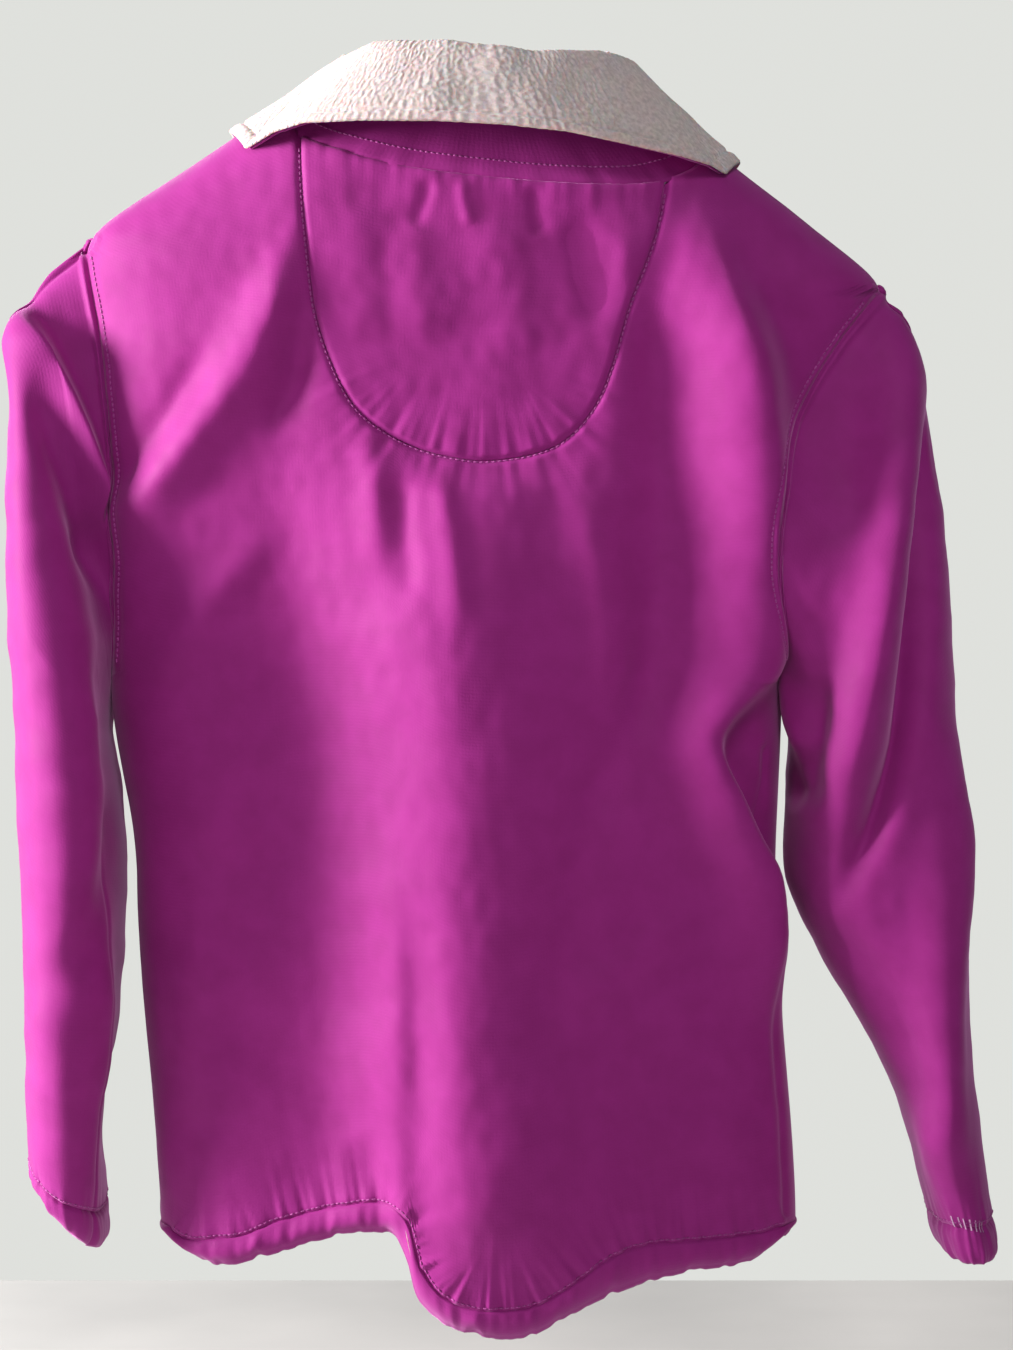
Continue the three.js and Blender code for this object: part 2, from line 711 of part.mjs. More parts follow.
for (const side of [left, right]) {
  const group = side.pocket;
  const name = `${side.name}_pocket`;
  const end = pocket.length / 2;
  const y = pocket.inset;
  const tapeHalf = pocket.tapeWidth / 2;
  const lean = -side.sign * Math.tan(THREE.MathUtils.degToRad(pocket.slant));
  const behind = (depth) => (side.sign > 0 ? [-depth - zip.tape, -depth] : [depth, depth + zip.tape]);
  const body = (x, z) => bodyPoint(turnAt(x, z, true), z);
  const onFront = (across, z) => body(side.sign * pocket.x + side.sign * across
    + lean * (z - pocket.level), z);
  const tapeLevels = steps(4).map((t) => pocket.level + mix(-end - 8, end + 8, t));
  const tapeAcross = steps(4).map((t) => mix(-tapeHalf, tapeHalf, t));
  add(`${name}_tape`, layer(onFront, tapeAcross, tapeLevels, ...behind(y)), tapeCloth);
  const chainEnd = end * Math.cos(THREE.MathUtils.degToRad(pocket.slant)) - pocket.endClear;
  const chainLevels = steps(4).map((t) => pocket.level + mix(-chainEnd, chainEnd, t));
  const chainFront = side.sign > 0 ? [gap - y, gap - y + zip.chain] : [y - gap - zip.chain, y - gap];
  const across = [-zip.toothReach, zip.toothReach];
  add(`${name}_chain`, layer(onFront, across, chainLevels, ...chainFront), plastic);
  const sliderGroup = new THREE.Group();
  sliderGroup.position.set(0, y - zip.chain - 3 * gap, end - 3 - zip.sliderLength / 2);
  group.add(sliderGroup);
  const w = pocket.slotHalf - 1.6;
  const h = zip.sliderLength / 2;
  const plate = solid(box(-w, w, -zip.sliderPlate, 0, -h, h));
  const barY = -zip.sliderPlate - pull.eye - 0.6;
  const lug = (x) => solid(box(x - 0.6, x + 0.6, barY - 1.4, -0.5, 2, 7));
  const bar = solid(
    new THREE.CylinderGeometry(pull.bar, pull.bar, 8, 12).rotateZ(Math.PI / 2)
      .translate(0, barY, 4.5),
  );
  const made = [lug(3.6), lug(-3.6), bar].reduce((a, b) => a.add(b), plate);
  add(`${name}_slider`, geometryFrom(made), metal, sliderGroup);
  add(`${name}_pull`, geometryFrom(pullSolid(pull.length * 0.8)), plastic, sliderGroup)
    .position.set(0, barY, 4.5);
  const bagLevels = steps(4).map((t) => pocket.level + mix(-pocket.bagBelow, pocket.bagAbove, t));
  const bagXs = steps(5).map((t) => side.sign * mix(pocket.bagFrom, pocket.bagTo, t));
  add(`${name}_bag`, layer(body, bagXs, bagLevels, ...behind(pocket.bagBehind)), mesh);
}

// ---------------------------------------------------------------- inside the neck

const loopFrom = backDepth - gap;
const loopShape = new THREE.Shape([
  [-loop.half, loopFrom], [-loop.half, loopFrom - loop.stand], [loop.half, loopFrom - loop.stand],
  [loop.half, loopFrom], [loop.half - loop.tape, loopFrom],
  [loop.half - loop.tape, loopFrom - loop.stand + loop.tape],
  [-loop.half + loop.tape, loopFrom - loop.stand + loop.tape], [-loop.half + loop.tape, loopFrom],
].map(([x, y]) => new THREE.Vector2(x, y)));
add(
  "hang_loop",
  new THREE.ExtrudeGeometry(loopShape, { depth: loop.height, bevelEnabled: false })
    .translate(0, 0, loop.level),
  tapeCloth,
);
add("neck_label", box(-22, 22, loopFrom - 0.9, loopFrom - 0.3, loop.level - 34, loop.level - 4), label);

export default root;
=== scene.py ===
import json
import math

import bpy
import numpy as np
from mathutils import Vector

# A women's softshell jacket, hung up and seen from behind. Lengths are in millimetres until
# a mesh is made. +X is the wearer's left, +Y the back, +Z up.
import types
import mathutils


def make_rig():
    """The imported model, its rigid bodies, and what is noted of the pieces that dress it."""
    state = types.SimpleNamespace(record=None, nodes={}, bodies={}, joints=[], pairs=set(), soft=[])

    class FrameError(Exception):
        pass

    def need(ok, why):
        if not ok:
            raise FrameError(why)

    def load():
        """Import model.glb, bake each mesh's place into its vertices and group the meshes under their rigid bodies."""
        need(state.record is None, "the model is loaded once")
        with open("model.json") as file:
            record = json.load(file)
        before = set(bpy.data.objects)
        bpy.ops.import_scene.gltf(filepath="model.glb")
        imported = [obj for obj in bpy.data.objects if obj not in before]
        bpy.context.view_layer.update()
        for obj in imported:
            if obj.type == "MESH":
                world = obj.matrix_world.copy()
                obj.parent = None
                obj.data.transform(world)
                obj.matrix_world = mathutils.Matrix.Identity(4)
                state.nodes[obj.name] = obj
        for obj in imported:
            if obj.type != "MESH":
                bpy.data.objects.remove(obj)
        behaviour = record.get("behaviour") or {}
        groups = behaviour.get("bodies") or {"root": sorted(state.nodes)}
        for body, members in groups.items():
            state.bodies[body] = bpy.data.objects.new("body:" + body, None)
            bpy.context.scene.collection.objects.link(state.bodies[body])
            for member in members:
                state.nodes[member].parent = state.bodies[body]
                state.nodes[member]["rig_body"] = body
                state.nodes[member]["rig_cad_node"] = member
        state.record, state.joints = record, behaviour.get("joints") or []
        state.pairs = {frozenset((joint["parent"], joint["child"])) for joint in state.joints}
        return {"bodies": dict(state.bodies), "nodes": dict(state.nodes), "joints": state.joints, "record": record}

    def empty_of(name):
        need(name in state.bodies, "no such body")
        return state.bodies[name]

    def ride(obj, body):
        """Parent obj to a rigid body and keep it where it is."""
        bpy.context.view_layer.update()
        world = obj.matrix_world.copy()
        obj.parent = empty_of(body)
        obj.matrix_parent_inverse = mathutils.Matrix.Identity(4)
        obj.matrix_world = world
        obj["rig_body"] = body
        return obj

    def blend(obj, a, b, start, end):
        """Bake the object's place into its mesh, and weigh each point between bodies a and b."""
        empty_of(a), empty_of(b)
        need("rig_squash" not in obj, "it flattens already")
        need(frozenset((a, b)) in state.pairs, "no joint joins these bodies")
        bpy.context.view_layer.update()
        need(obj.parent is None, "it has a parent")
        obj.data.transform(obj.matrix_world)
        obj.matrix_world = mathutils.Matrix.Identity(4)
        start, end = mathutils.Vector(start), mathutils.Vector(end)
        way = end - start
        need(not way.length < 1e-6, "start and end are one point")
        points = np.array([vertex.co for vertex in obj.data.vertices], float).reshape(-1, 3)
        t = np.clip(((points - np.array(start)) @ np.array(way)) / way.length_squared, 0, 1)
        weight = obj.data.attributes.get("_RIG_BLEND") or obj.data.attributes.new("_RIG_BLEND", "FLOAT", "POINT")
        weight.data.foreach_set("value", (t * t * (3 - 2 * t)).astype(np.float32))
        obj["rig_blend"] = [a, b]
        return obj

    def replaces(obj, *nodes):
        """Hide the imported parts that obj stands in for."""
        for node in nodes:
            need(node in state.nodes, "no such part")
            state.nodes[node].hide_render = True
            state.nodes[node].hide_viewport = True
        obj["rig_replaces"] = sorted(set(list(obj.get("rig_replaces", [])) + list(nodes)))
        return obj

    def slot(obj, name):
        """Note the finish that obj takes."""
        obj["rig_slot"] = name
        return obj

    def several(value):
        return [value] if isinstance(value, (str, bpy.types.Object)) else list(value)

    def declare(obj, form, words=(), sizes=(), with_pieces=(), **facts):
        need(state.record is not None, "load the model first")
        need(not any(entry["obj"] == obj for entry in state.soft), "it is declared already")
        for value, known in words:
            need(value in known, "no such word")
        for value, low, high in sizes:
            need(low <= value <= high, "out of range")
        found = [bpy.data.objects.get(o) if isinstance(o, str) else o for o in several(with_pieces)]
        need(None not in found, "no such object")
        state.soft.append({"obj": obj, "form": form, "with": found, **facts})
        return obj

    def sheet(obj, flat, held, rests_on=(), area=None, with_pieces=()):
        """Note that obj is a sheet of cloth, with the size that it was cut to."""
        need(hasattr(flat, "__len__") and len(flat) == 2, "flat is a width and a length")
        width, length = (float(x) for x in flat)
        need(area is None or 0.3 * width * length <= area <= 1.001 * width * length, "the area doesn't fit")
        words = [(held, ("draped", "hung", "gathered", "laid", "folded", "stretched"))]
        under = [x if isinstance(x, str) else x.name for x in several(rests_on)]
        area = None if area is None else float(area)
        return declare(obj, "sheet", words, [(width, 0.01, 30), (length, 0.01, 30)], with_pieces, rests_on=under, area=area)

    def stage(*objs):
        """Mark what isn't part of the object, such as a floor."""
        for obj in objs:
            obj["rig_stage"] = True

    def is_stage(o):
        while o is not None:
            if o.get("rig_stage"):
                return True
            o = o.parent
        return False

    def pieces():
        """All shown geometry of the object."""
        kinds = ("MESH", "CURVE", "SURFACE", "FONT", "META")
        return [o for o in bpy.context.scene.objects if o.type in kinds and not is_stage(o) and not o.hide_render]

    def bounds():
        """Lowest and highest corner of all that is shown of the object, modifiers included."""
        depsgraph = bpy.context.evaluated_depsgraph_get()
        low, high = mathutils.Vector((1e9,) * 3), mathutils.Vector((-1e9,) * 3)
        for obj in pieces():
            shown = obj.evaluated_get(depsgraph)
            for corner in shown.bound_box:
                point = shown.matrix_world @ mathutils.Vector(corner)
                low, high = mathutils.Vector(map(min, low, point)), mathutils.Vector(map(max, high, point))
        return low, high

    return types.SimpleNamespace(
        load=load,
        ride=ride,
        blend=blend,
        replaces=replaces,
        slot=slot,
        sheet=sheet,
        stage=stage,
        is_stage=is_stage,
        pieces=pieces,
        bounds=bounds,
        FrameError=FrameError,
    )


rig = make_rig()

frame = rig.load()
CAD_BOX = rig.bounds()
MM = 0.001

# ---------------------------------------------------------------- the jacket's sizes

FABRIC = 1.8
THICK = 1.6
HEM_THICK = 2.6
EDGING = 4
STITCH_WIDTH = 1.0
STITCH_HEIGHT = 0.75
STITCH_SINK = 0.05
SEAM_PITCH = 3.0
# The left shoulder hangs higher: how much the body's levels rise with x, near the shoulders.
SLOPE = 0.06
BODY_POWER = 2.5
SLEEVE_POWER = 2.2
SHOULDER_HALF = 217
NECK_HALF = 104
NECK_LEVEL = 16
TIP = -64
TIP_ROUND = 7.0
UNDERARM = -289
WAIST = -400
SIDE_HEM = -600
# True is the back and False the front: the depth, and how far the neck seam dips at the middle.
DEPTH = {True: 60, False: 62}
NECK_DIP = {True: 34, False: 56}
SIDES = {
    "left": {
        "sign": 1, "underarm": 204, "waist": 190, "hem": 178, "bow": {True: 8, False: 40},
        "outer": 498, "inner": 315, "split": -337,
        "stations": [
            (31, .056, 0, .035, 63), (41, .143, 0, .083, 66), (43, .303, 0, .146, 70),
            (40, .494, 0, .241, 70), (37, .675, 3, .416, 66), (35, .815, 12, .606, 60),
            (35, .936, 25, .781, 54), (33, 1, 25, 1, 48),
        ],
    },
    "right": {
        "sign": -1, "underarm": 161, "waist": 158, "hem": 170, "bow": {True: 36, False: 12},
        "outer": 542, "inner": 319, "split": -330,
        "stations": [
            (19, .066, 0, .034, 54), (29, .149, 0, .078, 55), (36, .279, 0, .135, 56),
            (40, .435, 0, .229, 56), (42, .565, 1, .348, 54), (47, .694, 19, .489, 52),
            (53, .832, 52, .705, 48), (66, 1, 75, 1, 44),
        ],
    },
}
ZIP_OPENING = 9
ZIP_TOP = -42
ZIP_BOTTOM = -596
POCKET_X = 104
POCKET_LEVEL = -450
POCKET_LENGTH = 145
POCKET_SLANT = math.radians(12)

# ---------------------------------------------------------------- the view

AIM = np.array([-11.6, 0.0, -289.0])
DISTANCE = 1800.0
PITCH = math.radians(3)
FRAME_HEIGHT = 742.5
LOOK = np.array([0.0, -math.cos(PITCH), -math.sin(PITCH)])
RIGHT = np.array([-1.0, 0.0, 0.0])
UP = np.array([0.0, -math.sin(PITCH), math.cos(PITCH)])
BACKWARD = np.array([0, 1.0, 0])
FORWARD = np.array([0, -1.0, 0])
EYE = AIM - DISTANCE * LOOK


def shown(p):
    """Where points show in the view, as x and z on the upright plane through AIM."""
    d = p - EYE
    depth = d @ LOOK
    return AIM[0] - DISTANCE * (d @ RIGHT) / depth, AIM[2] + DISTANCE * (d @ UP) / depth


def placed(x, z, y):
    """The points at depth y that show at x and z."""
    x, z, y = np.broadcast_arrays(x, z, y)
    ray = DISTANCE * LOOK + (AIM[0] - x)[..., None] * RIGHT + (z - AIM[2])[..., None] * UP
    t = (y - EYE[1]) / ray[..., 1]
    return EYE + t[..., None] * ray


# ---------------------------------------------------------------- small tools


def mix(a, b, t):
    return a + (b - a) * t


def ease(a, b, x):
    t = np.clip((x - a) / (b - a), 0, 1)
    return t * t * (3 - 2 * t)


def ridge(d, width):
    """A bell curve: 1 on a line and next to nothing at twice this width from it."""
    return np.exp(-((d / width) ** 2))


def soft(c, power):
    """The sine or cosine of an oval that is squarer than a circle."""
    return np.sign(c) * np.abs(c) ** (2 / power)


def catmull(points, t):
    """A smooth curve through points. t runs from 0 to 1, evenly by point."""
    points = np.asarray(points, float)
    n = len(points) - 1
    padded = np.vstack([2 * points[0] - points[1], points, 2 * points[-1] - points[-2]])
    at = np.clip(np.asarray(t, float), 0, 1) * n
    k = np.minimum(at.astype(int), n - 1)
    f = (at - k)[..., None]
    a, b, c, d = (padded[k + i] for i in range(4))
    return b + 0.5 * f * (c - a + f * (2 * a - 5 * b + 4 * c - d + f * (3 * (b - c) + d - a)))


def unit(v):
    return v / np.maximum(np.linalg.norm(v, axis=-1), 1e-9)[..., None]


def running(steps):
    """The running total of steps, from 0."""
    return np.concatenate([[0], np.cumsum(steps)])


def length_along(points):
    return running(np.linalg.norm(np.diff(points, axis=0), axis=1))


def read_off(at, known, rows):
    """Rows at places between the known ones."""
    return np.stack([np.interp(at, known, c) for c in np.asarray(rows).T], -1)


def evenly(points, step):
    """The same line with points a step apart, and its length at each."""
    length = length_along(points)
    at = np.linspace(0, length[-1], max(2, int(round(length[-1] / step)) + 1))
    return read_off(at, length, points), at


def beside(points, x, z):
    """Signed distance to a line (positive on its left), and the length along it, of the nearest place."""
    best = np.full(np.shape(x), 1e9)
    side = np.zeros(np.shape(x))
    along = np.zeros(np.shape(x))
    start = 0.0
    for (ax, az), (bx, bz) in zip(points[:-1], points[1:]):
        dx, dz = bx - ax, bz - az
        length = math.hypot(dx, dz)
        t = np.clip(((x - ax) * dx + (z - az) * dz) / length**2, 0, 1)
        px, pz = x - ax - t * dx, z - az - t * dz
        d = np.hypot(px, pz)
        near = d < best
        best = np.where(near, d, best)
        side = np.where(near, dx * pz - dz * px, side)
        along = np.where(near, start + t * length, along)
        start += length
    return np.where(side >= 0, best, -best), along, start


def waves(seed, count, short, long):
    """Directions, lengths and phases of the ripples of gentle unevenness."""
    rng = np.random.default_rng(seed)
    turn = rng.uniform(0, math.pi, count)
    size = 2 * math.pi / np.exp(rng.uniform(math.log(short), math.log(long), count))
    return np.cos(turn) * size, np.sin(turn) * size, rng.uniform(0, 2 * math.pi, count)


def uneven(kit, x, z):
    total = np.zeros(np.shape(x))
    for kx, kz, phase in zip(*kit):
        total += np.cos(kx * x + kz * z + phase)
    return total / math.sqrt(len(kit[0]))


def gathered(along, seed, length=11.0):
    """Puckers along a seam, as a ripple of wandering length."""
    rng = np.random.default_rng(seed)
    total = np.zeros(np.shape(along))
    for k in (0.63, 1.0, 1.41, 2.1):
        phase = rng.uniform(0, 2 * math.pi)
        total += np.sin(2 * math.pi * k * along / length + phase) / (0.6 + k)
    return total


# ---------------------------------------------------------------- the body's surface

OVAL_TURNS = np.linspace(0, math.pi, 4001)
OVAL_X = soft(np.cos(OVAL_TURNS), BODY_POWER)
OVAL_Y = soft(np.sin(OVAL_TURNS), BODY_POWER)
ROUND = np.hypot(np.diff(OVAL_X) * 190, np.diff(OVAL_Y) * 60)
OVAL_SHARE = running(ROUND) / ROUND.sum()


def slope(x, z):
    return SLOPE * x * ease(-330, -110, z)


def tilt(points):
    points = points.copy()
    points[..., 2] += slope(points[..., 0], points[..., 2])
    return points


def half_width(x, z):
    widths = []
    for side in (SIDES["left"], SIDES["right"]):
        u, w, h = side["underarm"], side["waist"], side["hem"]
        above = mix(SHOULDER_HALF, NECK_HALF, (z - TIP) / (NECK_LEVEL - TIP))
        arm = mix(SHOULDER_HALF, u, (TIP - z) / (TIP - UNDERARM))
        upper = mix(w, u, ease(WAIST, UNDERARM, z))
        lower = mix(h, w, ease(SIDE_HEM, WAIST, z))
        top = -TIP_ROUND * np.logaddexp(-above / TIP_ROUND, -arm / TIP_ROUND)
        widths.append(np.where(z > UNDERARM, top, np.where(z > WAIST, upper, lower)))
    return np.where(x >= 0, *widths)


def body(p, z, back):
    """The cloth's inner face. p runs from 0 at the left side to 1 at the right side."""
    cx = np.interp(p, OVAL_SHARE, OVAL_X)
    cy = np.interp(p, OVAL_SHARE, OVAL_Y)
    x = cx * half_width(cx, z)
    y = cy * DEPTH[back] * (1 if back else -1)
    return np.stack(np.broadcast_arrays(x, y, z + slope(x, z)), -1)


def share_at(x, z):
    return np.interp(-x / half_width(x, z), -OVAL_X, OVAL_SHARE)


def normals(p, z, back):
    e, h = 0.002, 1.5
    across = body(np.clip(p + e, 0, 1), z, back) - body(np.clip(p - e, 0, 1), z, back)
    up = body(p, z + h, back) - body(p, z - h, back)
    n = np.cross(across, up) * (1 if back else -1)
    return unit(n)


def armhole(side, z, back):
    t = np.clip((TIP - z) / (TIP - UNDERARM), 0, 1)
    x = mix(SHOULDER_HALF, side["underarm"], t)
    return side["sign"] * (x - side["bow"][back] * np.sin(math.pi * t) ** 0.8)


# ---------------------------------------------------------------- seams and folds as the view shows them

NECK_DROP = [(-125, 0), (-105, 8), (-80, 8.5), (-54, 6.7), (0, 4), (30, 2.8), (75, 0), (110, 0)]
YOKE_LINE = [
    (102, 12), (101, -19), (98, -54), (93.5, -90), (84, -119), (72, -141), (55.5, -155),
    (34.7, -165), (9.4, -170.5), (-7, -170.5), (-28.6, -166.6), (-45, -158.5), (-60, -141),
    (-69.3, -119), (-79, -86), (-89.7, -58), (-95.7, -37), (-101, -8),
]
HEM_STITCH = [
    (176, -592), (165, -600), (149, -600), (134, -598.5), (119, -592.5), (105, -589), (90, -585),
    (75, -582), (60.5, -580), (49, -582), (42, -590), (38, -607), (35, -615), (24, -629), (6.6, -636.5),
    (-15, -637), (-31, -633.5), (-49, -622.5), (-66.5, -610), (-86, -603), (-109, -601),
    (-133, -599), (-153, -596), (-167, -591),
]
HEM_EDGE = [
    (180, -594), (170, -606), (150, -615.5), (129, -612), (102, -605), (80, -599), (62, -597), (50, -600),
    (43, -613), (38, -632), (26, -645), (12, -651), (-8, -655), (-24, -654), (-42, -645), (-63, -634),
    (-85, -626), (-104, -621), (-118, -618), (-146, -614), (-162, -604), (-171, -592),
]
ARM_LINES = {}
RIPPLE = waves(3, 22, 34, 120)
FINE_RIPPLE = waves(4, 26, 9, 30)

# Each fold: its line in the view, height, half width on its left and on its right.
BACK_FOLDS = [
    ([(80, -10), (100, -60), (119, -92), (133, -122), (160, -160), (196, -205), (214, -225)], 10, 17, 14),
    ([(76, -30), (88, -66), (98, -96), (106, -124), (122, -165)], -7, 9, 12),
    ([(146, -100), (170, -140), (186, -165), (210, -196)], -5, 10, 12),
    ([(112, -200), (136, -230), (156, -256), (186, -296)], 4, 12, 12),
    ([(42, -110), (28, -165), (19, -240), (13, -320), (11, -400), (8, -480), (2, -570), (-6, -700)],
     25, 47, 66),
    ([(134, -110), (124, -170), (112, -250), (104, -330), (100, -400), (98, -480), (97, -680)], -13, 44, 32),
    ([(66, -120), (62, -160), (58, -240)], 3.0, 9, 8),
    ([(30, -165), (20, -205), (12, -270)], 3.0, 8, 7),
    ([(48, -170), (40, -250)], -2.6, 7, 7),
    ([(-40, -160), (-64, -230), (-72, -320)], 4.0, 13, 14),
    ([(-112, -20), (-130, -74), (-145, -120), (-150, -180), (-148, -240), (-138, -330)], 23, 27, 14),
    ([(-78, -30), (-92, -100), (-98, -190), (-93, -262), (-80, -360)], -7, 17, 24),
    ([(-166, -256), (-140, -290), (-121, -322), (-132, -362), (-148, -406), (-162, -490)], 20, 19, 8),
    ([(-118, -312), (-142, -356), (-164, -410)], -8, 5, 8),
    ([(-134, -404), (-90, -440), (-40, -474)], 3.0, 12, 10),
    ([(-70, -300), (-50, -400), (-24, -520)], -3.5, 14, 18),
    ([(50, -380), (49, -500), (48, -560), (44, -625)], 1.8, 12, 9),
    ([(36, -400), (35, -530), (32, -630)], -2.4, 9, 12),
    ([(70, -540), (58, -578), (47, -612)], -5, 10, 7),
    ([(146, -300), (156, -420), (160, -560)], 3.0, 12, 14),
]
YOKE_FOLDS = [
    ([(-50, -30), (-56, -62), (-66, -100)], -3.0, 10, 12),
    ([(40, -32), (38, -70), (34, -112)], 2.0, 12, 14),
    ([(-2, -30), (-12, -70), (-20, -120)], 2.4, 16, 16),
    ([(62, -20), (70, -60), (64, -110)], 2.0, 14, 12),
    ([(-76, -40), (-80, -75), (-70, -120)], 2.2, 10, 10),
    ([(13, -14), (12, -28), (8, -44)], 1.4, 4, 4),
    ([(-26, -17), (-27, -30), (-30, -50)], -1.6, 4, 5),
    ([(30, -13), (33, -27), (40, -44)], -1.4, 5, 4),
]
SLEEVE_FOLDS = {
    "right": [
        ([(-206, -40), (-226, -110), (-227, -180), (-221, -240), (-212, -295), (-203, -335), (-182, -400)],
         13, 18, 11),
        ([(-250, -110), (-243, -200), (-236, -275), (-227, -330), (-212, -372), (-188, -425)], -16, 7, 8),
        ([(-266, -290), (-257, -380), (-251, -470), (-258, -600)], 13, 15, 9),
        ([(-150, -278), (-165, -304), (-184, -338)], 9, 8, 7),
        ([(-156, -306), (-163, -330), (-172, -366)], -8, 5, 6),
        ([(-187, -286), (-184, -322), (-178, -370)], -5, 6, 8),
        ([(-180, -418), (-220, -468), (-256, -548)], -6, 12, 12),
    ],
    "left": [
        ([(262, -76), (244, -112), (226, -150), (200, -216)], 17, 20, 6),
        ([(256, -104), (240, -150), (225, -195), (207, -256)], -12, 10, 9),
        ([(252, -140), (236, -235), (229, -310), (224, -400), (217, -500), (204, -640)], 14, 22, 15),
        ([(198, -330), (214, -395), (230, -470)], -6, 9, 9),
        ([(242, -440), (234, -520), (226, -600)], 4.0, 9, 9),
    ],
}


def fold_relief(folds, x, z):
    total = np.zeros(np.shape(x))
    for line, height, wide_left, wide_right in folds:
        smooth = catmull(line, np.linspace(0, 1, 5 * len(line)))
        d, along, length = beside([tuple(q) for q in smooth], x, z)
        t = along / length
        width = np.where(d > 0, wide_left, wide_right)
        total += height * ridge(d, width) * ease(0, 0.3, t) * ease(1, 0.75, t)
    return total


YOKE_SMOOTH = [tuple(q) for q in catmull(YOKE_LINE, np.linspace(0, 1, 70))]


def back_relief(x, z, yoke=False):
    """How far the back's cloth stands off its plain surface at a place of the view."""
    relief = 0.6 * uneven(RIPPLE, x, z) + 0.12 * uneven(FINE_RIPPLE, x, z)
    d, along, _ = beside(YOKE_SMOOTH, x, z)
    under = yoke_inside(x, z, d)
    relief += fold_relief(BACK_FOLDS, x, z) * ease(-6, 22, under)
    relief += fold_relief(YOKE_FOLDS, x, z) * ease(6, -16, under)
    low = ease(-100, -160, z)
    reach = np.exp(-np.abs(d) / 13)
    relief += 0.5 * gathered(along, 11, 15) * reach * (0.1 + 0.9 * low) * ease(0, 4, np.abs(d))
    relief = np.where(under < 0, np.maximum(relief, -1.2 + 0.3 * relief), relief)
    relief -= 1.7 * ridge(d, 1.9)
    if not yoke:
        relief -= 2.2 * ease(1.5, -1.5, under)
    return relief


def yoke_inside(x, z, d):
    """Distance to the yoke's line, negative inside it."""
    half = np.interp(z, *zip(*sorted((q[1], q[0]) for q in YOKE_SMOOTH if q[0] > 0)))
    other = np.interp(z, *zip(*sorted((q[1], q[0]) for q in YOKE_SMOOTH if q[0] <= 0)))
    inside = (x < half) & (x > other) & (z > -171)
    return np.where(inside, -np.abs(d), np.abs(d))


def edge_relief(x, z):
    """Grooves and puckers at the back's other seams."""
    total = np.zeros(np.shape(x))
    for line in ARM_LINES.values():
        d = np.abs(beside(line, x, z)[0])
        total += -1.3 * ridge(d, 1.6) - 0.7 * ridge(d - 4.2, 1.0)
        total += 0.7 * ridge(d - 2.3, 1.2)
    d, along, _ = beside(HEM_LINE, x, z)
    total += 0.9 * gathered(along, 21, 10) * np.exp(-np.abs(d) / 12) * ease(0, 3, np.abs(d))
    total -= 1.3 * ridge(d, 2.2)
    return total


def side_seam(x, z):
    """The right side seam shows on the back, a few millimetres in from the edge."""
    line = [(-152, -330), (-151, -400), (-156, -470), (-161, -530), (-163, -585)]
    d = beside(line, x, z)[0]
    return -1.8 * ridge(d, 1.5) + 0.8 * ridge(d - 4, 3)


HEM_LINE = [tuple(q) for q in catmull(HEM_STITCH, np.linspace(0, 1, 110))]


def back_skin(p, z, yoke=False, relief=True):
    """The outer face of the back."""
    base = body(p, z, True)
    n = normals(p, z, True)
    off = FABRIC
    if relief:
        x, h = shown(base)
        total = back_relief(x, h, yoke) + edge_relief(x, h) + side_seam(x, h)
        near_ridge = ease(0.0, 0.06, p) * ease(1.0, 0.91, p)
        neck = neck_top(p) - z
        total += 0.22 * gathered(x, 31, 15) * np.exp(-np.maximum(neck, 0) / 9)
        total *= near_ridge
        total -= 0.9 * ridge(neck, 1.8)
        off = off + total
    return base + n * np.asarray(off)[..., None]


def neck_top(p):
    """Level of the neck seam, before the shoulders' slope."""
    cx = np.interp(p, OVAL_SHARE, OVAL_X)
    cy = np.interp(p, OVAL_SHARE, OVAL_Y)
    level = NECK_LEVEL - NECK_DIP[True] * cy**2
    x = cx * half_width(cx, level)
    return level - np.interp(x, *zip(*NECK_DROP))


def find_on_back(x, z):
    """Body coordinates of the back's places that show at x and z."""
    x, z = np.asarray(x, float), np.asarray(z, float)
    at = placed(x, z, 55.0)
    bx, bz = at[..., 0], at[..., 2]
    for _ in range(8):
        p = share_at(bx, bz)
        sx, sz = shown(back_skin(p, bz, relief=False))
        bx, bz = bx + x - sx, bz + z - sz
    return share_at(bx, bz), bz


def armhole_in_view(side):
    """The line of the back's armhole as the view shows it."""
    level = np.linspace(TIP, UNDERARM, 40)
    share = share_at(armhole(side, level, True), level)
    return list(zip(*shown(body(share, level, True))))


for name, side in SIDES.items():
    ARM_LINES[name] = armhole_in_view(side)

# ---------------------------------------------------------------- meshes


def face_normals(grid, closed):
    if closed:
        du = np.roll(grid, -1, 1) - np.roll(grid, 1, 1)
    else:
        du = np.gradient(grid, axis=1)
    dv = np.gradient(grid, axis=0)
    n = np.cross(du, dv)
    return unit(n)


def make_mesh(name, points, quads, kinds, uvs, finishes):
    mesh = bpy.data.meshes.new(name)
    mesh.from_pydata((np.asarray(points) * MM).tolist(), [], [list(map(int, q)) for q in quads])
    for finish in finishes:
        mesh.materials.append(finish)
    mesh.polygons.foreach_set("material_index", np.asarray(kinds, np.int32))
    mesh.polygons.foreach_set("use_smooth", np.ones(len(quads), bool))
    if uvs is not None:
        layer = mesh.uv_layers.new(name="grain")
        corners = np.zeros(len(mesh.loops), np.int32)
        mesh.loops.foreach_get("vertex_index", corners)
        layer.data.foreach_set("uv", (np.asarray(uvs)[corners] * MM).ravel().astype(np.float32))
    mesh.update()
    thing = bpy.data.objects.new(name, mesh)
    bpy.context.scene.collection.objects.link(thing)
    return thing


def edge_loops(index, closed):
    """The points round a sheet's edges: one loop, or one at each end of a closed sheet."""
    if closed:
        return [index[0], index[-1][::-1]]
    return [np.concatenate([index[0, :-1], index[:-1, -1], index[-1, :0:-1], index[:0:-1, 0]])]


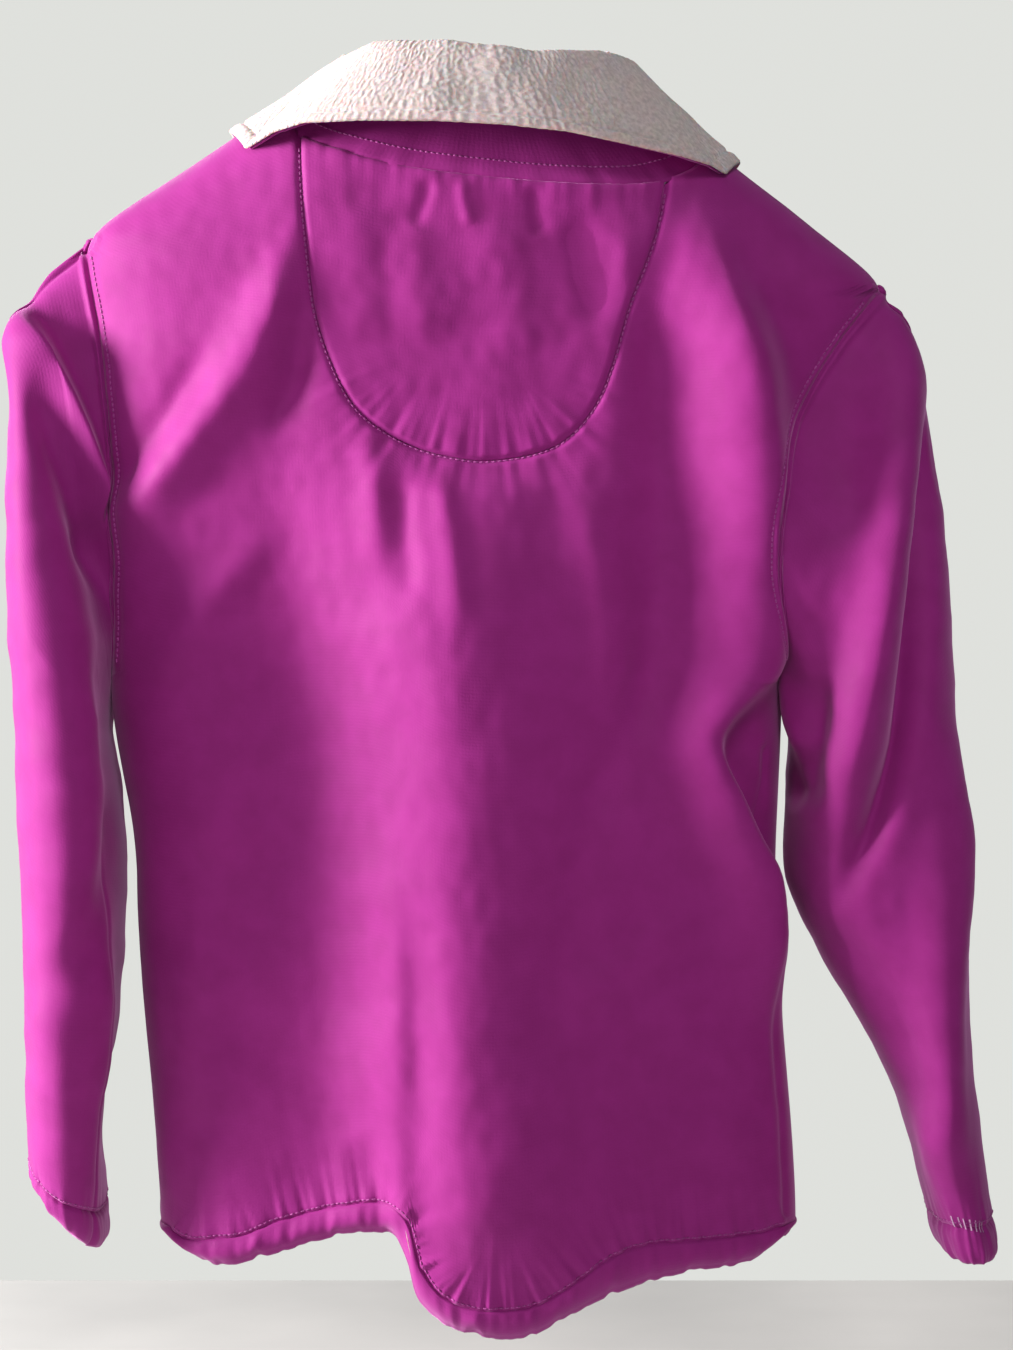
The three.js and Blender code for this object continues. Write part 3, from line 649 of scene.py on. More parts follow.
def edge_middle(grid, inner, n, loop, closed):
    """The middle of a sheet's edge between its two faces, and the way out from it."""
    middle = (grid.reshape(-1, 3)[loop] + inner.reshape(-1, 3)[loop]) / 2
    ahead = np.roll(middle, -1, 0) - np.roll(middle, 1, 0)
    out = unit(np.cross(ahead, n.reshape(-1, 3)[loop]))
    centre = grid[len(grid) // 2].mean(0) if closed else grid.reshape(-1, 3).mean(0)
    if (out * (middle - centre)).sum() < 0:
        out = -out
    return middle, out


def inner_kinds(shape, second, closed, edging):
    """Which finish each quad of a sheet's inner face has: the first along its edges."""
    kinds = np.full(shape, second)
    kinds[:edging] = 0
    kinds[-EDGING:] = 0
    if not closed:
        kinds[:, :EDGING] = 0
        kinds[:, -EDGING:] = 0
    return kinds.ravel()


def cloth(name, grid, finishes, thick=THICK, closed=False, away=None, bulge=0.35, edging=EDGING):
    """A closed sheet. grid is its outer face, row by row; away says which side is out.

    The inner face has the second finish, but for an edging of the first, so many rows wide.
    """
    rows, cols = grid.shape[:2]
    n = face_normals(grid, closed)
    if away is None:
        away = grid - grid.mean(axis=1, keepdims=True)
    if (n * away).sum() < 0:
        n = -n
    flip = np.cross(grid[0, 1] - grid[0, 0], grid[1, 0] - grid[0, 0]) @ n[0, 0] < 0
    thick = np.broadcast_to(np.asarray(thick, float), (rows, cols))[..., None]
    inner = grid - n * thick
    points = [grid.reshape(-1, 3), inner.reshape(-1, 3)]
    du = np.linalg.norm(np.diff(grid, axis=1), axis=2).mean(axis=0)
    dv = np.linalg.norm(np.diff(grid, axis=0), axis=2).mean(axis=1)
    u, v = np.meshgrid(running(du), running(dv))
    uv = np.stack([u, v], -1).reshape(-1, 2)
    uvs = [uv, uv]
    index = np.arange(rows * cols).reshape(rows, cols)
    after = np.roll(index, -1, 1) if closed else index[:, 1:]
    before = index if closed else index[:, :-1]
    outer = np.stack([before[:-1], after[:-1], after[1:], before[1:]], -1).reshape(-1, 4)
    if flip:
        outer = outer[:, ::-1]
    count = rows * cols
    quads = [outer, outer[:, ::-1] + count]
    second = min(1, len(finishes) - 1)
    kinds = [np.zeros(len(outer), int), inner_kinds(before[:-1].shape, second, closed, edging)]
    base = 2 * count
    for loop in edge_loops(index, closed):
        middle, out = edge_middle(grid, inner, n, loop, closed)
        points.append(middle + out * bulge * thick.reshape(-1, 1)[loop])
        uvs.append(uv[loop])
        ring = base + np.arange(len(loop))
        nxt, ring_next = np.roll(loop, -1), np.roll(ring, -1)
        first = np.stack([loop, ring, ring_next, nxt], -1)
        second = np.stack([ring, loop + count, nxt + count, ring_next], -1)
        if flip:
            first, second = first[:, ::-1], second[:, ::-1]
        quads += [first, second]
        kinds += [np.zeros(len(loop), int)] * 2
        base += len(loop)
    return make_mesh(
        name, np.concatenate(points), np.concatenate(quads), np.concatenate(kinds),
        np.concatenate(uvs), finishes,
    )


def many(name, shape, frames, finish):
    """Copies of one small shape (points, faces), one for each place and its three directions."""
    points, faces = shape
    points = np.asarray(points, float)
    allpoints = np.einsum("nij,kj->nki", frames[1], points) + frames[0][:, None]
    count = len(points)
    quads = [[i + count * k for i in face] for k in range(len(frames[0])) for face in faces]
    return make_mesh(name, allpoints.reshape(-1, 3), quads, np.zeros(len(quads), int), None, [finish])


def capsule(length, width, height, sides=8, rings=5):
    """A stitch: a short rounded thread along x that stands on z = 0."""
    points, faces = [], []
    for i in range(rings):
        a = math.pi * (i + 0.5) / rings
        along, thick = -math.cos(a) * length / 2, math.sin(a) ** 0.6
        for k in range(sides):
            b = 2 * math.pi * k / sides
            points.append((along, math.cos(b) * width / 2 * thick, math.sin(b) * height * thick))
    for i in range(rings - 1):
        for k in range(sides):
            j = (k + 1) % sides
            faces.append([i * sides + k, i * sides + j, (i + 1) * sides + j, (i + 1) * sides + k])
    points += [(-length / 2, 0, 0), (length / 2, 0, 0)]
    for k in range(sides):
        j = (k + 1) % sides
        faces.append([j, k, len(points) - 2])
        faces.append([(rings - 1) * sides + k, (rings - 1) * sides + j, len(points) - 1])
    return points, faces


def along_line(points, outward, pitch):
    """Places a pitch apart on a line, with their directions: along, across and out."""
    line, at = evenly(points, pitch)
    out = read_off(at, length_along(points), outward)
    middle = (line[1:] + line[:-1]) / 2
    out = (out[1:] + out[:-1]) / 2
    ahead = unit(line[1:] - line[:-1])
    out = unit(out - (out * ahead).sum(1)[:, None] * ahead)
    return middle, np.stack([ahead, np.cross(out, ahead), out], -1)


def stitch_row(name, points, outward, ride, pitch=3.2):
    """Stitches along a line, a little sunk in the cloth."""
    places, turns = along_line(np.asarray(points), outward, pitch)
    places = places - turns[:, :, 2] * STITCH_SINK
    row = many(name, capsule(pitch * 0.76, STITCH_WIDTH, STITCH_HEIGHT), (places, turns), THREAD)
    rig.ride(row, ride)
    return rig.slot(row, "shell_fabric")


# ---------------------------------------------------------------- materials


def colour(r, g, b):
    linear = [c / 255 / 12.92 if c <= 10 else ((c / 255 + 0.055) / 1.055) ** 2.4 for c in (r, g, b)]
    return (*linear, 1)


def material(name, base, rough=0.8, metal=0.0, sheen=0.0, sheen_tint=(1, 1, 1, 1), specular=0.5):
    made = bpy.data.materials.new(name)
    made.use_nodes = True
    shader = made.node_tree.nodes["Principled BSDF"]
    shader.inputs["Base Color"].default_value = base
    shader.inputs["Roughness"].default_value = rough
    shader.inputs["Metallic"].default_value = metal
    shader.inputs["Sheen Weight"].default_value = sheen
    shader.inputs["Sheen Roughness"].default_value = 0.45
    shader.inputs["Sheen Tint"].default_value = sheen_tint
    shader.inputs["Specular IOR Level"].default_value = specular
    return made


def shader_of(made):
    return made.node_tree.nodes["Principled BSDF"]


def node(made, kind, **values):
    new = made.node_tree.nodes.new("ShaderNode" + kind)
    for key, value in values.items():
        if key in new.inputs:
            new.inputs[key].default_value = value
        else:
            setattr(new, key.lower(), value)
    return new


def link(made, a, b):
    made.node_tree.links.new(a, b)


def place(made, kind="UV"):
    return node(made, "TexCoord").outputs[kind]


def noise(made, scale, detail):
    new = node(made, "TexNoise", Scale=scale, Detail=detail)
    link(made, place(made, "Object"), new.inputs["Vector"])
    return new.outputs["Fac"]


def weave(made, pitch):
    """Threads over and under, pitch in metres."""
    threads = []
    for direction in ("X", "Y"):
        wave = node(made, "TexWave", Scale=1 / (pitch * 6.2832), Distortion=0.6)
        wave.bands_direction = direction
        wave.inputs["Detail"].default_value = 1
        wave.inputs["Detail Scale"].default_value = 2
        link(made, place(made), wave.inputs["Vector"])
        threads.append(wave.outputs["Fac"])
    return sum_of(made, *threads, 0.5)


def sum_of(made, a, b, share=1.0):
    add = node(made, "Math", operation="MULTIPLY_ADD")
    link(made, a, add.inputs[0])
    add.inputs[1].default_value = share
    link(made, b, add.inputs[2])
    return add.outputs[0]


def bump(made, height, strength, distance):
    new = node(made, "Bump", Strength=strength, Distance=distance)
    link(made, height, new.inputs["Height"])
    link(made, new.outputs[0], shader_of(made).inputs["Normal"])


def shade(made, height, dark, light, low=0.35, high=0.65):
    """Colour between dark and light where height is low and high."""
    ramp = node(made, "ValToRGB")
    ramp.color_ramp.elements[0].position = low
    ramp.color_ramp.elements[0].color = dark
    ramp.color_ramp.elements[1].position = high
    ramp.color_ramp.elements[1].color = light
    link(made, height, ramp.inputs[0])
    link(made, ramp.outputs[0], shader_of(made).inputs["Base Color"])


def rough_by(made, height, low, high):
    span = node(made, "MapRange")
    span.inputs["To Min"].default_value = low
    span.inputs["To Max"].default_value = high
    link(made, height, span.inputs["Value"])
    link(made, span.outputs[0], shader_of(made).inputs["Roughness"])


def softshell():
    made = material(
        "softshell_face", colour(152, 30, 126), 0.7, sheen=0.4, sheen_tint=(1, .5, .9, 1), specular=0.25,
    )
    cloudy = noise(made, 60, 4)
    shade(made, cloudy, colour(149, 28, 123), colour(156, 33, 130))
    threads = weave(made, 0.0009)
    bump(made, sum_of(made, threads, noise(made, 900, 2), 0.25), 0.3, 0.0003)
    rough_by(made, noise(made, 30, 2), 0.62, 0.76)
    return made


def fleece():
    made = material("fleece_back", colour(204, 188, 188), 0.95, sheen=0.3, specular=0.1)
    shader_of(made).inputs["Subsurface Weight"].default_value = 0.6
    shader_of(made).inputs["Subsurface Scale"].default_value = 0.004
    curls = noise(made, 420, 4)
    shade(made, curls, colour(192, 176, 176), colour(218, 203, 202))
    bump(made, curls, 0.3, 0.0008)
    return made


def thread():
    made = material("sewing_thread", colour(160, 56, 140), 0.5, sheen=0.2)
    twist = node(made, "TexWave", Scale=400.0, Distortion=1.0)
    twist.bands_direction = "DIAGONAL"
    link(made, place(made, "Object"), twist.inputs["Vector"])
    shade(made, twist.outputs["Fac"], colour(146, 46, 128), colour(176, 66, 154), 0.2, 0.8)
    bump(made, twist.outputs["Fac"], 0.4, 0.0001)
    return made


def tape():
    made = material("zip_tape_cloth", colour(126, 40, 108), 0.8, sheen=0.2)
    rib = weave(made, 0.0011)
    shade(made, rib, colour(112, 34, 98), colour(140, 48, 122), 0.1, 0.9)
    bump(made, rib, 0.5, 0.0003)
    return made


def plastic(name, base, light):
    made = material(name, base, 0.4)
    grain = noise(made, 500, 3)
    shade(made, grain, base, light)
    bump(made, grain, 0.15, 0.0002)
    rough_by(made, noise(made, 120, 2), 0.32, 0.5)
    return made


def metal():
    made = material("plated_metal", colour(110, 106, 112), 0.3, 1.0)
    brushed = noise(made, 300, 4)
    shade(made, brushed, colour(92, 88, 94), colour(128, 124, 130))
    rough_by(made, brushed, 0.22, 0.45)
    bump(made, brushed, 0.08, 0.0002)
    return made


def net():
    made = material("pocket_net", colour(196, 184, 190), 0.9)
    holes = node(made, "TexVoronoi", Scale=420.0)
    link(made, place(made), holes.inputs["Vector"])
    shade(made, holes.outputs["Distance"], colour(150, 138, 146), colour(214, 204, 208), 0.1, 0.5)
    bump(made, holes.outputs["Distance"], 0.7, 0.0006)
    return made


def label():
    made = material("label_satin", colour(52, 48, 54), 0.45)
    threads = weave(made, 0.0007)
    shade(made, threads, colour(40, 36, 42), colour(64, 60, 66))
    bump(made, threads, 0.3, 0.0002)
    return made


def silver_print():
    made = material("cuff_print", colour(196, 150, 190), 0.45)
    shade(made, noise(made, 700, 2), colour(186, 138, 180), colour(210, 168, 204))
    bump(made, noise(made, 900, 2), 0.2, 0.0001)
    return made


def floor_finish():
    made = material("pale_floor", colour(196, 195, 192), 0.7)
    shade(made, noise(made, 3, 6), colour(184, 183, 181), colour(208, 206, 203), 0.3, 0.7)
    return made


SHELL, FLEECE, THREAD, TAPE = softshell(), fleece(), thread(), tape()
PLASTIC = plastic("zip_plastic", colour(140, 44, 120), colour(156, 54, 134))
METAL, NET, LABEL, PRINT = metal(), net(), label(), silver_print()


def finish_cloth(thing, ride, slot, nodes=()):
    if ride:
        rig.ride(thing, ride)
    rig.slot(thing, slot)
    if nodes:
        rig.replaces(thing, *nodes)
    return thing


# ---------------------------------------------------------------- the back


def spread(*stops):
    """Rows of a grid: (from, to, step) runs joined end to end."""
    runs = [np.linspace(a, b, max(2, int(math.ceil(abs(b - a) / step)) + 1)) for a, b, step in stops]
    return np.concatenate([runs[0]] + [r[1:] for r in runs[1:]])


def bottom_of(line):
    """The level, in body coordinates, of a line that runs across the view, as a function of x."""
    points = catmull(line, np.linspace(0, 1, 160))
    p, z = find_on_back(points[:, 0], points[:, 1])
    x = body(p, z, True)[:, 0]
    order = np.argsort(x)
    return lambda at: np.interp(at, x[order], z[order])


STITCH_LEVEL = bottom_of(HEM_STITCH)
EDGE_LEVEL = bottom_of(HEM_EDGE)


def back_bounds(z):
    """The share across at the back's left and right edges at a level."""
    left = np.where((z < TIP) & (z > UNDERARM), share_at(armhole(SIDES["left"], z, True), z), 0.0)
    right = np.where((z < TIP) & (z > UNDERARM), share_at(armhole(SIDES["right"], z, True), z), 1.0)
    return left, right


def back_grid(us, vs, low, high):
    """Places of the back between two level functions, from its left edge to its right."""
    u, v = np.meshgrid(us, vs)
    p = u.copy()
    bottom = np.full_like(u, SIDE_HEM)
    for _ in range(8):
        bottom = low(body(u, bottom, True)[..., 0])
    for _ in range(30):
        z = mix(bottom, high(p), v)
        a, b = back_bounds(z)
        p = mix(p, u + a * (1 - u) ** 5 + (b - 1) * u**5, 0.4)
    return p, z


def make_back():
    us = spread((0, 0.2, 0.005), (0.2, 0.8, 0.0029), (0.8, 1, 0.005))
    vs = spread((0, 0.04, 0.0025), (0.04, 0.68, 0.0044), (0.68, 1, 0.0022))
    p, z = back_grid(us, vs, STITCH_LEVEL, neck_top)
    panel = cloth("back_panel_cloth", back_skin(p, z), [SHELL, FLEECE], away=BACKWARD)
    return finish_cloth(panel, "jacket", "shell_fabric", ["back_panel"])


def coons(sides, nu, nv):
    """A grid between four lines: bottom, top (left to right), left, right (bottom to top)."""
    bottom, top, left, right = sides
    u, v = np.meshgrid(np.linspace(0, 1, nu), np.linspace(0, 1, nv))
    u, v = u[..., None], v[..., None]
    low, high = mix(bottom[0], bottom[-1], u), mix(top[0], top[-1], u)
    return mix(bottom[None], top[None], v) + mix(left[:, None], right[:, None], u) - mix(low, high, v)


def resample(points, count):
    line, at = evenly(points, 0.5)
    return read_off(np.linspace(0, at[-1], count), at, line)


def neck_in_view(at):
    """The height at which the neck seam shows at places across the view."""
    p = np.linspace(0.02, 0.98, 200)
    x, z = shown(back_skin(p, neck_top(p), relief=False))
    order = np.argsort(x)
    return np.interp(at, x[order], z[order])


def make_yoke():
    outline = catmull(YOKE_LINE, np.linspace(0, 1, 400))
    outline = outline[outline[:, 1] < neck_in_view(outline[:, 0]) - 0.5]
    side_points, nu, nv = 130, 190, 150
    first, last = side_points, len(outline) - side_points
    left = resample(outline[:first + 1][::-1], nv)
    right = resample(outline[last:], nv)
    bottom = resample(outline[first:last + 1], nu)
    across = np.linspace(outline[0, 0], outline[-1, 0], nu)
    top = np.stack([across, neck_in_view(across) - 0.4], -1)
    left[-1], right[-1] = top[0], top[-1]
    flat = coons([bottom, top, left, right], nu, nv)
    p, z = find_on_back(flat[..., 0], flat[..., 1])
    grid = back_skin(p, z, yoke=True)
    line = [tuple(q) for q in [*outline[::4], outline[-1]]]
    d = beside(line, flat[..., 0], flat[..., 1])[0]
    thick = mix(0.5, THICK, ease(0, 5, np.abs(d)))
    yoke = cloth("back_yoke_cloth", grid, [SHELL, SHELL], thick=thick, away=BACKWARD)
    finish_cloth(yoke, "jacket", "shell_fabric", ["back_yoke"])
    back_stitches("yoke_stitches", inward(outline, 1.0)[5:-5], yoke=True)
    return yoke


def inward(line, by):
    """A line beside another, to its left as it runs."""
    t = unit(np.gradient(line, axis=0))
    return line + by * np.stack([-t[:, 1], t[:, 0]], -1)


def back_stitches(name, line, yoke=False):
    p, z = find_on_back(line[:, 0], line[:, 1])
    stitch_row(name, back_skin(p, z, yoke=yoke), normals(p, z, True), "jacket")


def make_back_hem():
    """The turned-up hem, gathered: it swells below its stitches and tucks in at its edge."""
    rows = 26
    p = spread((0, 1, 0.003))
    x = body(p, np.full_like(p, SIDE_HEM), True)[:, 0]
    for _ in range(6):
        x = body(p, STITCH_LEVEL(x), True)[:, 0]
    top, low = STITCH_LEVEL(x), EDGE_LEVEL(x)
    grid = []
    puckers = gathered(running(np.abs(np.diff(x))), 41, 15)
    ends = ease(0, 0.03, p) * ease(1, 0.97, p)
    for q in np.linspace(-0.3, 1, rows):
        z = mix(top, low, q) + max(q, 0) * 0.8 * np.maximum(puckers, -0.4) * ends
        base = body(p, z, True)
        n = normals(p, z, True)
        if q > 0:
            swell = -1.3 + 2.2 * math.sin(math.pi * min(1, 0.15 + q)) ** 0.7 - 6.0 * q**4
        else:
            swell = -1.3 + 8 * q
        ripple = 0.55 * puckers * math.sin(math.pi * max(0, 0.1 + 0.8 * q))
        bx, bz = shown(base)
        cover = back_relief(bx, bz) * (1 - 0.3 * max(q, 0))
        grid.append(base + n * (FABRIC + swell + (ripple + cover) * ends)[:, None])
    grid = np.array(grid)[::-1]
    hem = cloth("back_hem_cloth", grid, [SHELL, FLEECE], thick=HEM_THICK, away=BACKWARD, bulge=0.5)
    return finish_cloth(hem, "jacket", "shell_fabric", ["back_hem"])


back = make_back()
yoke = make_yoke()
back_hem = make_back_hem()
back_stitches("back_hem_stitches", inward(catmull(HEM_STITCH, np.linspace(0.01, 0.99, 300)), -2.2)[::-1])

# ---------------------------------------------------------------- the fronts

FRONT_RIPPLE = waves(7, 20, 40, 130)
FRONT_SEAM = SIDE_HEM + 24.4
# The same on both fronts: line for the left one, height, half width.
FRONT_FOLDS = [
    ([(150, -300), (118, -360), (96, -430), (86, -560)], 3.5, 22),
    ([(66, -120), (60, -240), (50, -380)], -2.4, 20),
]


def front_relief(p, z):
    x = body(p, z, False)[..., 0]
    relief = 1.2 * uneven(FRONT_RIPPLE, x, z) + 0.15 * uneven(FINE_RIPPLE, x, z)
    for sign in (-1, 1):
        for line, height, wide in FRONT_FOLDS:
            d, along, length = beside([(sign * a, b) for a, b in line], x, z)
            t = along / length
            relief += height * ridge(d, wide) * ease(0, 0.3, t) * ease(1.1, 0.8, t)
    near_zip = np.abs(x) - ZIP_OPENING
    calm = ease(2, 26, near_zip) * ease(0, 0.06, p) * ease(1, 0.94, p)
    for sign in (-1, 1):
        u, v = pocket_uv(x, z, sign)
        beyond = np.maximum(np.abs(u) - 8, np.abs(v) - POCKET_LENGTH / 2)
        calm = calm * ease(2, 18, beyond)
    relief *= calm
    relief -= 0.9 * ridge(near_zip - 7, 1.0)
    relief += 0.8 * gathered(z, 51, 30) * np.exp(-near_zip / 9)
    hem = z - FRONT_SEAM
    relief -= 0.9 * ridge(hem, 2.0)
    relief += 0.8 * gathered(x, 52, 10) * np.exp(-np.abs(hem) / 11)
    return relief


def pocket_uv(x, z, sign):
    """Across and along a pocket's zip."""
    dx, dz = x - sign * POCKET_X, z - POCKET_LEVEL
    c, s = math.cos(POCKET_SLANT), math.sin(POCKET_SLANT)
    return c * dx * sign + s * dz, c * dz - s * dx * sign


def pocket_place(sign, u, v):
    """The place of the front that is u across and v along a pocket's zip."""
    c, s = math.cos(POCKET_SLANT), math.sin(POCKET_SLANT)
    return sign * (POCKET_X + c * u - s * v), POCKET_LEVEL + s * u + c * v


def pocket_ring(sign, angles, half, straight):
    """A long ring round a pocket's zip: two half circles, each so far from the middle."""
    ring = []
    for a in angles:
        end = straight if math.sin(a) >= 0 else -straight
        ring.append(pocket_place(sign, half * math.cos(a), end + half * math.sin(a)))
    return ring


def front_skin(p, z, off=FABRIC, relief=True):
    """A face of the front, off its inner face by so much."""
    height = off + (front_relief(p, z) if relief else np.zeros(np.shape(p)))
    return body(p, z, False) + normals(p, z, False) * height[..., None]


def front_top(p):
    return NECK_LEVEL - NECK_DIP[False] * np.interp(p, OVAL_SHARE, OVAL_Y) ** 2


def front_grid(sign, us, vs, bottom):
    """One front, from its side seam to its edge at the zip."""
    side = SIDES["left" if sign > 0 else "right"]
    u, v = np.meshgrid(us, vs)
    start = 0.0 if sign > 0 else 1.0
    p = mix(start, 0.5, u)
    for _ in range(24):
        z = mix(bottom, front_top(p), v)
        arm = (z < TIP) & (z > UNDERARM)
        a = np.where(arm, share_at(armhole(side, z, False), z), start)
        b = share_at(np.full_like(z, sign * ZIP_OPENING), z)
        p = mix(p, mix(start, b, u) + (a - start) * (1 - u) ** 5, 0.5)
    return p, z


FRONT_SHARES = spread((0, 0.9, 0.011), (0.9, 1, 0.006))


def make_front(sign, name):
    vs = spread((0, 0.03, 0.0025), (0.03, 1, 0.006))
    p, z = front_grid(sign, FRONT_SHARES, vs, FRONT_SEAM)
    panel = cloth(f"{name}_front_cloth", front_skin(p, z), [SHELL, FLEECE], away=FORWARD)
    cut_pocket(panel, sign)
    return finish_cloth(panel, "jacket", "shell_fabric", [f"{name}_front_panel"])


def make_front_hem(sign, name):
    """The turned-up hem. q runs from 0 at its edge to 1 at the stitches, and on under the panel."""
    rows = 14
    p, z = front_grid(sign, FRONT_SHARES, np.linspace(0, 1, rows), SIDE_HEM)
    q = np.concatenate([np.linspace(0, 1, rows - 2), [1.08, 1.2]])[:, None]
    puckers = gathered(body(p, z, False)[..., 0], 61, 12)
    z = mix(SIDE_HEM, SIDE_HEM + 24, q) + np.maximum(1 - q, 0) * puckers
    p = p[:1].repeat(rows, 0)
    base = body(p, z, False)
    swell = -0.9 + 2.0 * np.sin(math.pi * np.clip(1.05 - q, 0, 1)) ** 0.6
    swell = swell - 4.5 * np.abs(1 - q) ** 5 - 12 * np.maximum(q - 1, 0)
    ripple = 0.5 * gathered(base[..., 0], 62, 12) * np.sin(math.pi * np.minimum(q, 1))
    grid = base + normals(p, z, False) * (FABRIC + swell + ripple)[..., None]
    hem = cloth(
        f"{name}_front_hem_cloth", grid, [SHELL, FLEECE], thick=HEM_THICK, away=FORWARD, bulge=0.5,
    )
    return finish_cloth(hem, "jacket", "shell_fabric", [f"{name}_front_hem"])


def cut_pocket(panel, sign):
    """Opens the pocket's slot through the front."""
    half, count = 6.5, 24
    angles = np.linspace(0, 2 * math.pi, count, endpoint=False)
    ring = pocket_ring(sign, angles, half, POCKET_LENGTH / 2 - half)
    if sign > 0:
        ring.reverse()
    points = [(x, y, z) for y in (-90, -20) for x, z in ring]
    sides = [[k, (k + 1) % count, count + (k + 1) % count, count + k] for k in range(count)]
    ends = [list(range(count))[::-1], list(range(count, 2 * count))]
    cutter = bpy.data.meshes.new("slot")
    cutter.from_pydata((np.array(points) * MM).tolist(), [], sides + ends)
    tool = bpy.data.objects.new("slot", cutter)
    bpy.context.scene.collection.objects.link(tool)
    bpy.context.view_layer.update()
    cut = panel.modifiers.new("slot", "BOOLEAN")
    cut.operation, cut.solver, cut.object = "DIFFERENCE", "EXACT", tool
    mesh = bpy.data.meshes.new_from_object(panel.evaluated_get(bpy.context.evaluated_depsgraph_get()))
    panel.modifiers.clear()
    panel.data = mesh
    bpy.data.objects.remove(tool)


def front_stitch_row(name, x, z):
    p = share_at(x, z)
    stitch_row(name, front_skin(p, z), normals(p, z, False), "jacket")


def front_stitches(sign, name):
    side = SIDES[name]
    z = np.linspace(-60, SIDE_HEM + 26, 200)
    front_stitch_row(f"{name}_front_edge_stitches", np.full_like(z, sign * (ZIP_OPENING + 7)), z)
    x = np.linspace(ZIP_OPENING + 3, side["hem"] - 6, 120) * sign
    front_stitch_row(f"{name}_front_hem_stitches", x, np.full_like(x, FRONT_SEAM + 2))
    z = np.linspace(TIP - 8, UNDERARM + 8, 120)
    front_stitch_row(f"{name}_front_armhole_stitches", armhole(side, z, False) - sign * 4, z)
    ring = pocket_ring(sign, np.linspace(0, 2 * math.pi, 61), 12, POCKET_LENGTH / 2 - 8)
    line, _ = evenly(ring, 2)
    front_stitch_row(f"{name}_pocket_stitches", line[:, 0], line[:, 1])


fronts = {}
for name, side in SIDES.items():
    fronts[name] = (make_front(side["sign"], name), make_front_hem(side["sign"], name))
    front_stitches(side["sign"], name)

# ---------------------------------------------------------------- the collar

COLLAR_EDGE = [
    (142, -8), (136, -3), (115, 10), (98, 15.4), (68, 17), (26.5, 17), (-11.5, 14.8), (-45, 11), (-75, 4.4),
    (-106, -2.8), (-123, -8.3), (-136, -16.5), (-142, -21.5), (-146, -26),
]
COLLAR_TOP = [
    (106, 28), (84, 45.6), (58, 56.6), (22, 58.8), (-3, 55), (-24, 52), (-60, 52), (-81, 45.6),
    (-92, 36), (-102, 19),
]
COLLAR_TURNS = 260
COLLAR_STEPS = 64
# The turn past the side at which the collar's ends stand: 10 mm from the middle of an oval of 173 mm.
COLLAR_START = math.acos((10 / 173) ** (BODY_POWER / 2))


def oval_point(oval, turn):
    a = math.pi / 2 + (turn - math.pi / 2) * oval["spread"]
    s = math.sin(a)
    end = "back" if s >= 0 else "front"
    x = soft(math.cos(a), BODY_POWER) * oval["half"]
    return np.array([x, soft(s, BODY_POWER) * oval[end], mix(oval["side"], oval["at_" + end], s * s)])


# The collar's ovals: half width, depths, levels at side, back and front, and the share of the turn.
FOLD = {
    "half": 78, "back": 52, "front": 46, "side": 58, "at_back": 56, "at_front": 18, "spread": 0.92,
    "line": COLLAR_TOP,
}
EDGE = {
    "half": 136, "back": 80, "front": 96, "side": 12, "at_back": 14, "at_front": -40, "spread": 0.8,
    "line": COLLAR_EDGE,
}
ROLL = 7
COLLAR_CLEAR = 5
# How far the collar's shell stands off the surface between shell and fleece.
COLLAR_OFF = 1.4


def view_level(line, point):
    """The height at which a point of this x and y shows on a line of the view."""
    x, _ = shown(point)
    return placed(x, np.interp(x, *zip(*sorted(line))), point[1])[2]


def collar_line(oval, turn):
    """An oval's point, brought to its line of the view: all the way behind, and less in front."""
    point = tilt(oval_point(oval, turn))
    nearest = tilt(oval_point(oval, min(max(turn, 0.0), math.pi)))
    shift = view_level(oval["line"], nearest) - nearest[2]
    point[2] += shift * ease(-0.95, -0.1, math.sin(turn))
    return point


def shoulder_level(x, y):
    """The level of the shoulder's cloth under a point."""
    depth = DEPTH[y >= 0]
    if abs(y) > 0.98 * depth:
        return -1000.0
    rest = 1 - (abs(y) / depth) ** BODY_POWER
    half = abs(x) / rest ** (1 / BODY_POWER)
    fall = (NECK_LEVEL - TIP) / (SHOULDER_HALF - NECK_HALF)
    return NECK_LEVEL - max(half - NECK_HALF, 0.0) * fall + SLOPE * x


def collar_seam(turn):
    """The collar's start, a little inside and under the neck seam."""
    c, s = soft(math.cos(turn), BODY_POWER), soft(math.sin(turn), BODY_POWER)
    behind = s >= 0
    z = NECK_LEVEL - NECK_DIP[behind] * s**2
    x = c * half_width(c, z)
    if behind:
        z -= np.interp(x, *zip(*NECK_DROP))
        x = c * half_width(c, z)
    return tilt(np.array([x, s * DEPTH[behind] * 0.985, z - 1.6]))


def collar_section(turn):
    """Points of one section, from the seam up over the fold and down to the edge."""
    seam, fold, edge = collar_seam(turn), collar_line(FOLD, turn), collar_line(EDGE, turn)
    edge[2] = max(edge[2], shoulder_level(edge[0], edge[1]) + COLLAR_CLEAR)
    out = edge - fold
    out[2] = 0
    out = unit(out)
    up = np.array([0, 0, 1.0])
    centre = fold - ROLL * up
    around = [centre + ROLL * (out * math.cos(a) + up * math.sin(a)) for a in np.radians([190, 140, 90, 40])]
    return np.array([seam, (seam + around[0]) / 2, *around, (around[-1] + edge) / 2, edge])


def collar_grid():
    turns = np.linspace(-COLLAR_START, math.pi + COLLAR_START, COLLAR_TURNS)
    t = np.linspace(0, 1, COLLAR_STEPS)
    return np.array([catmull(collar_section(a), t) for a in turns])


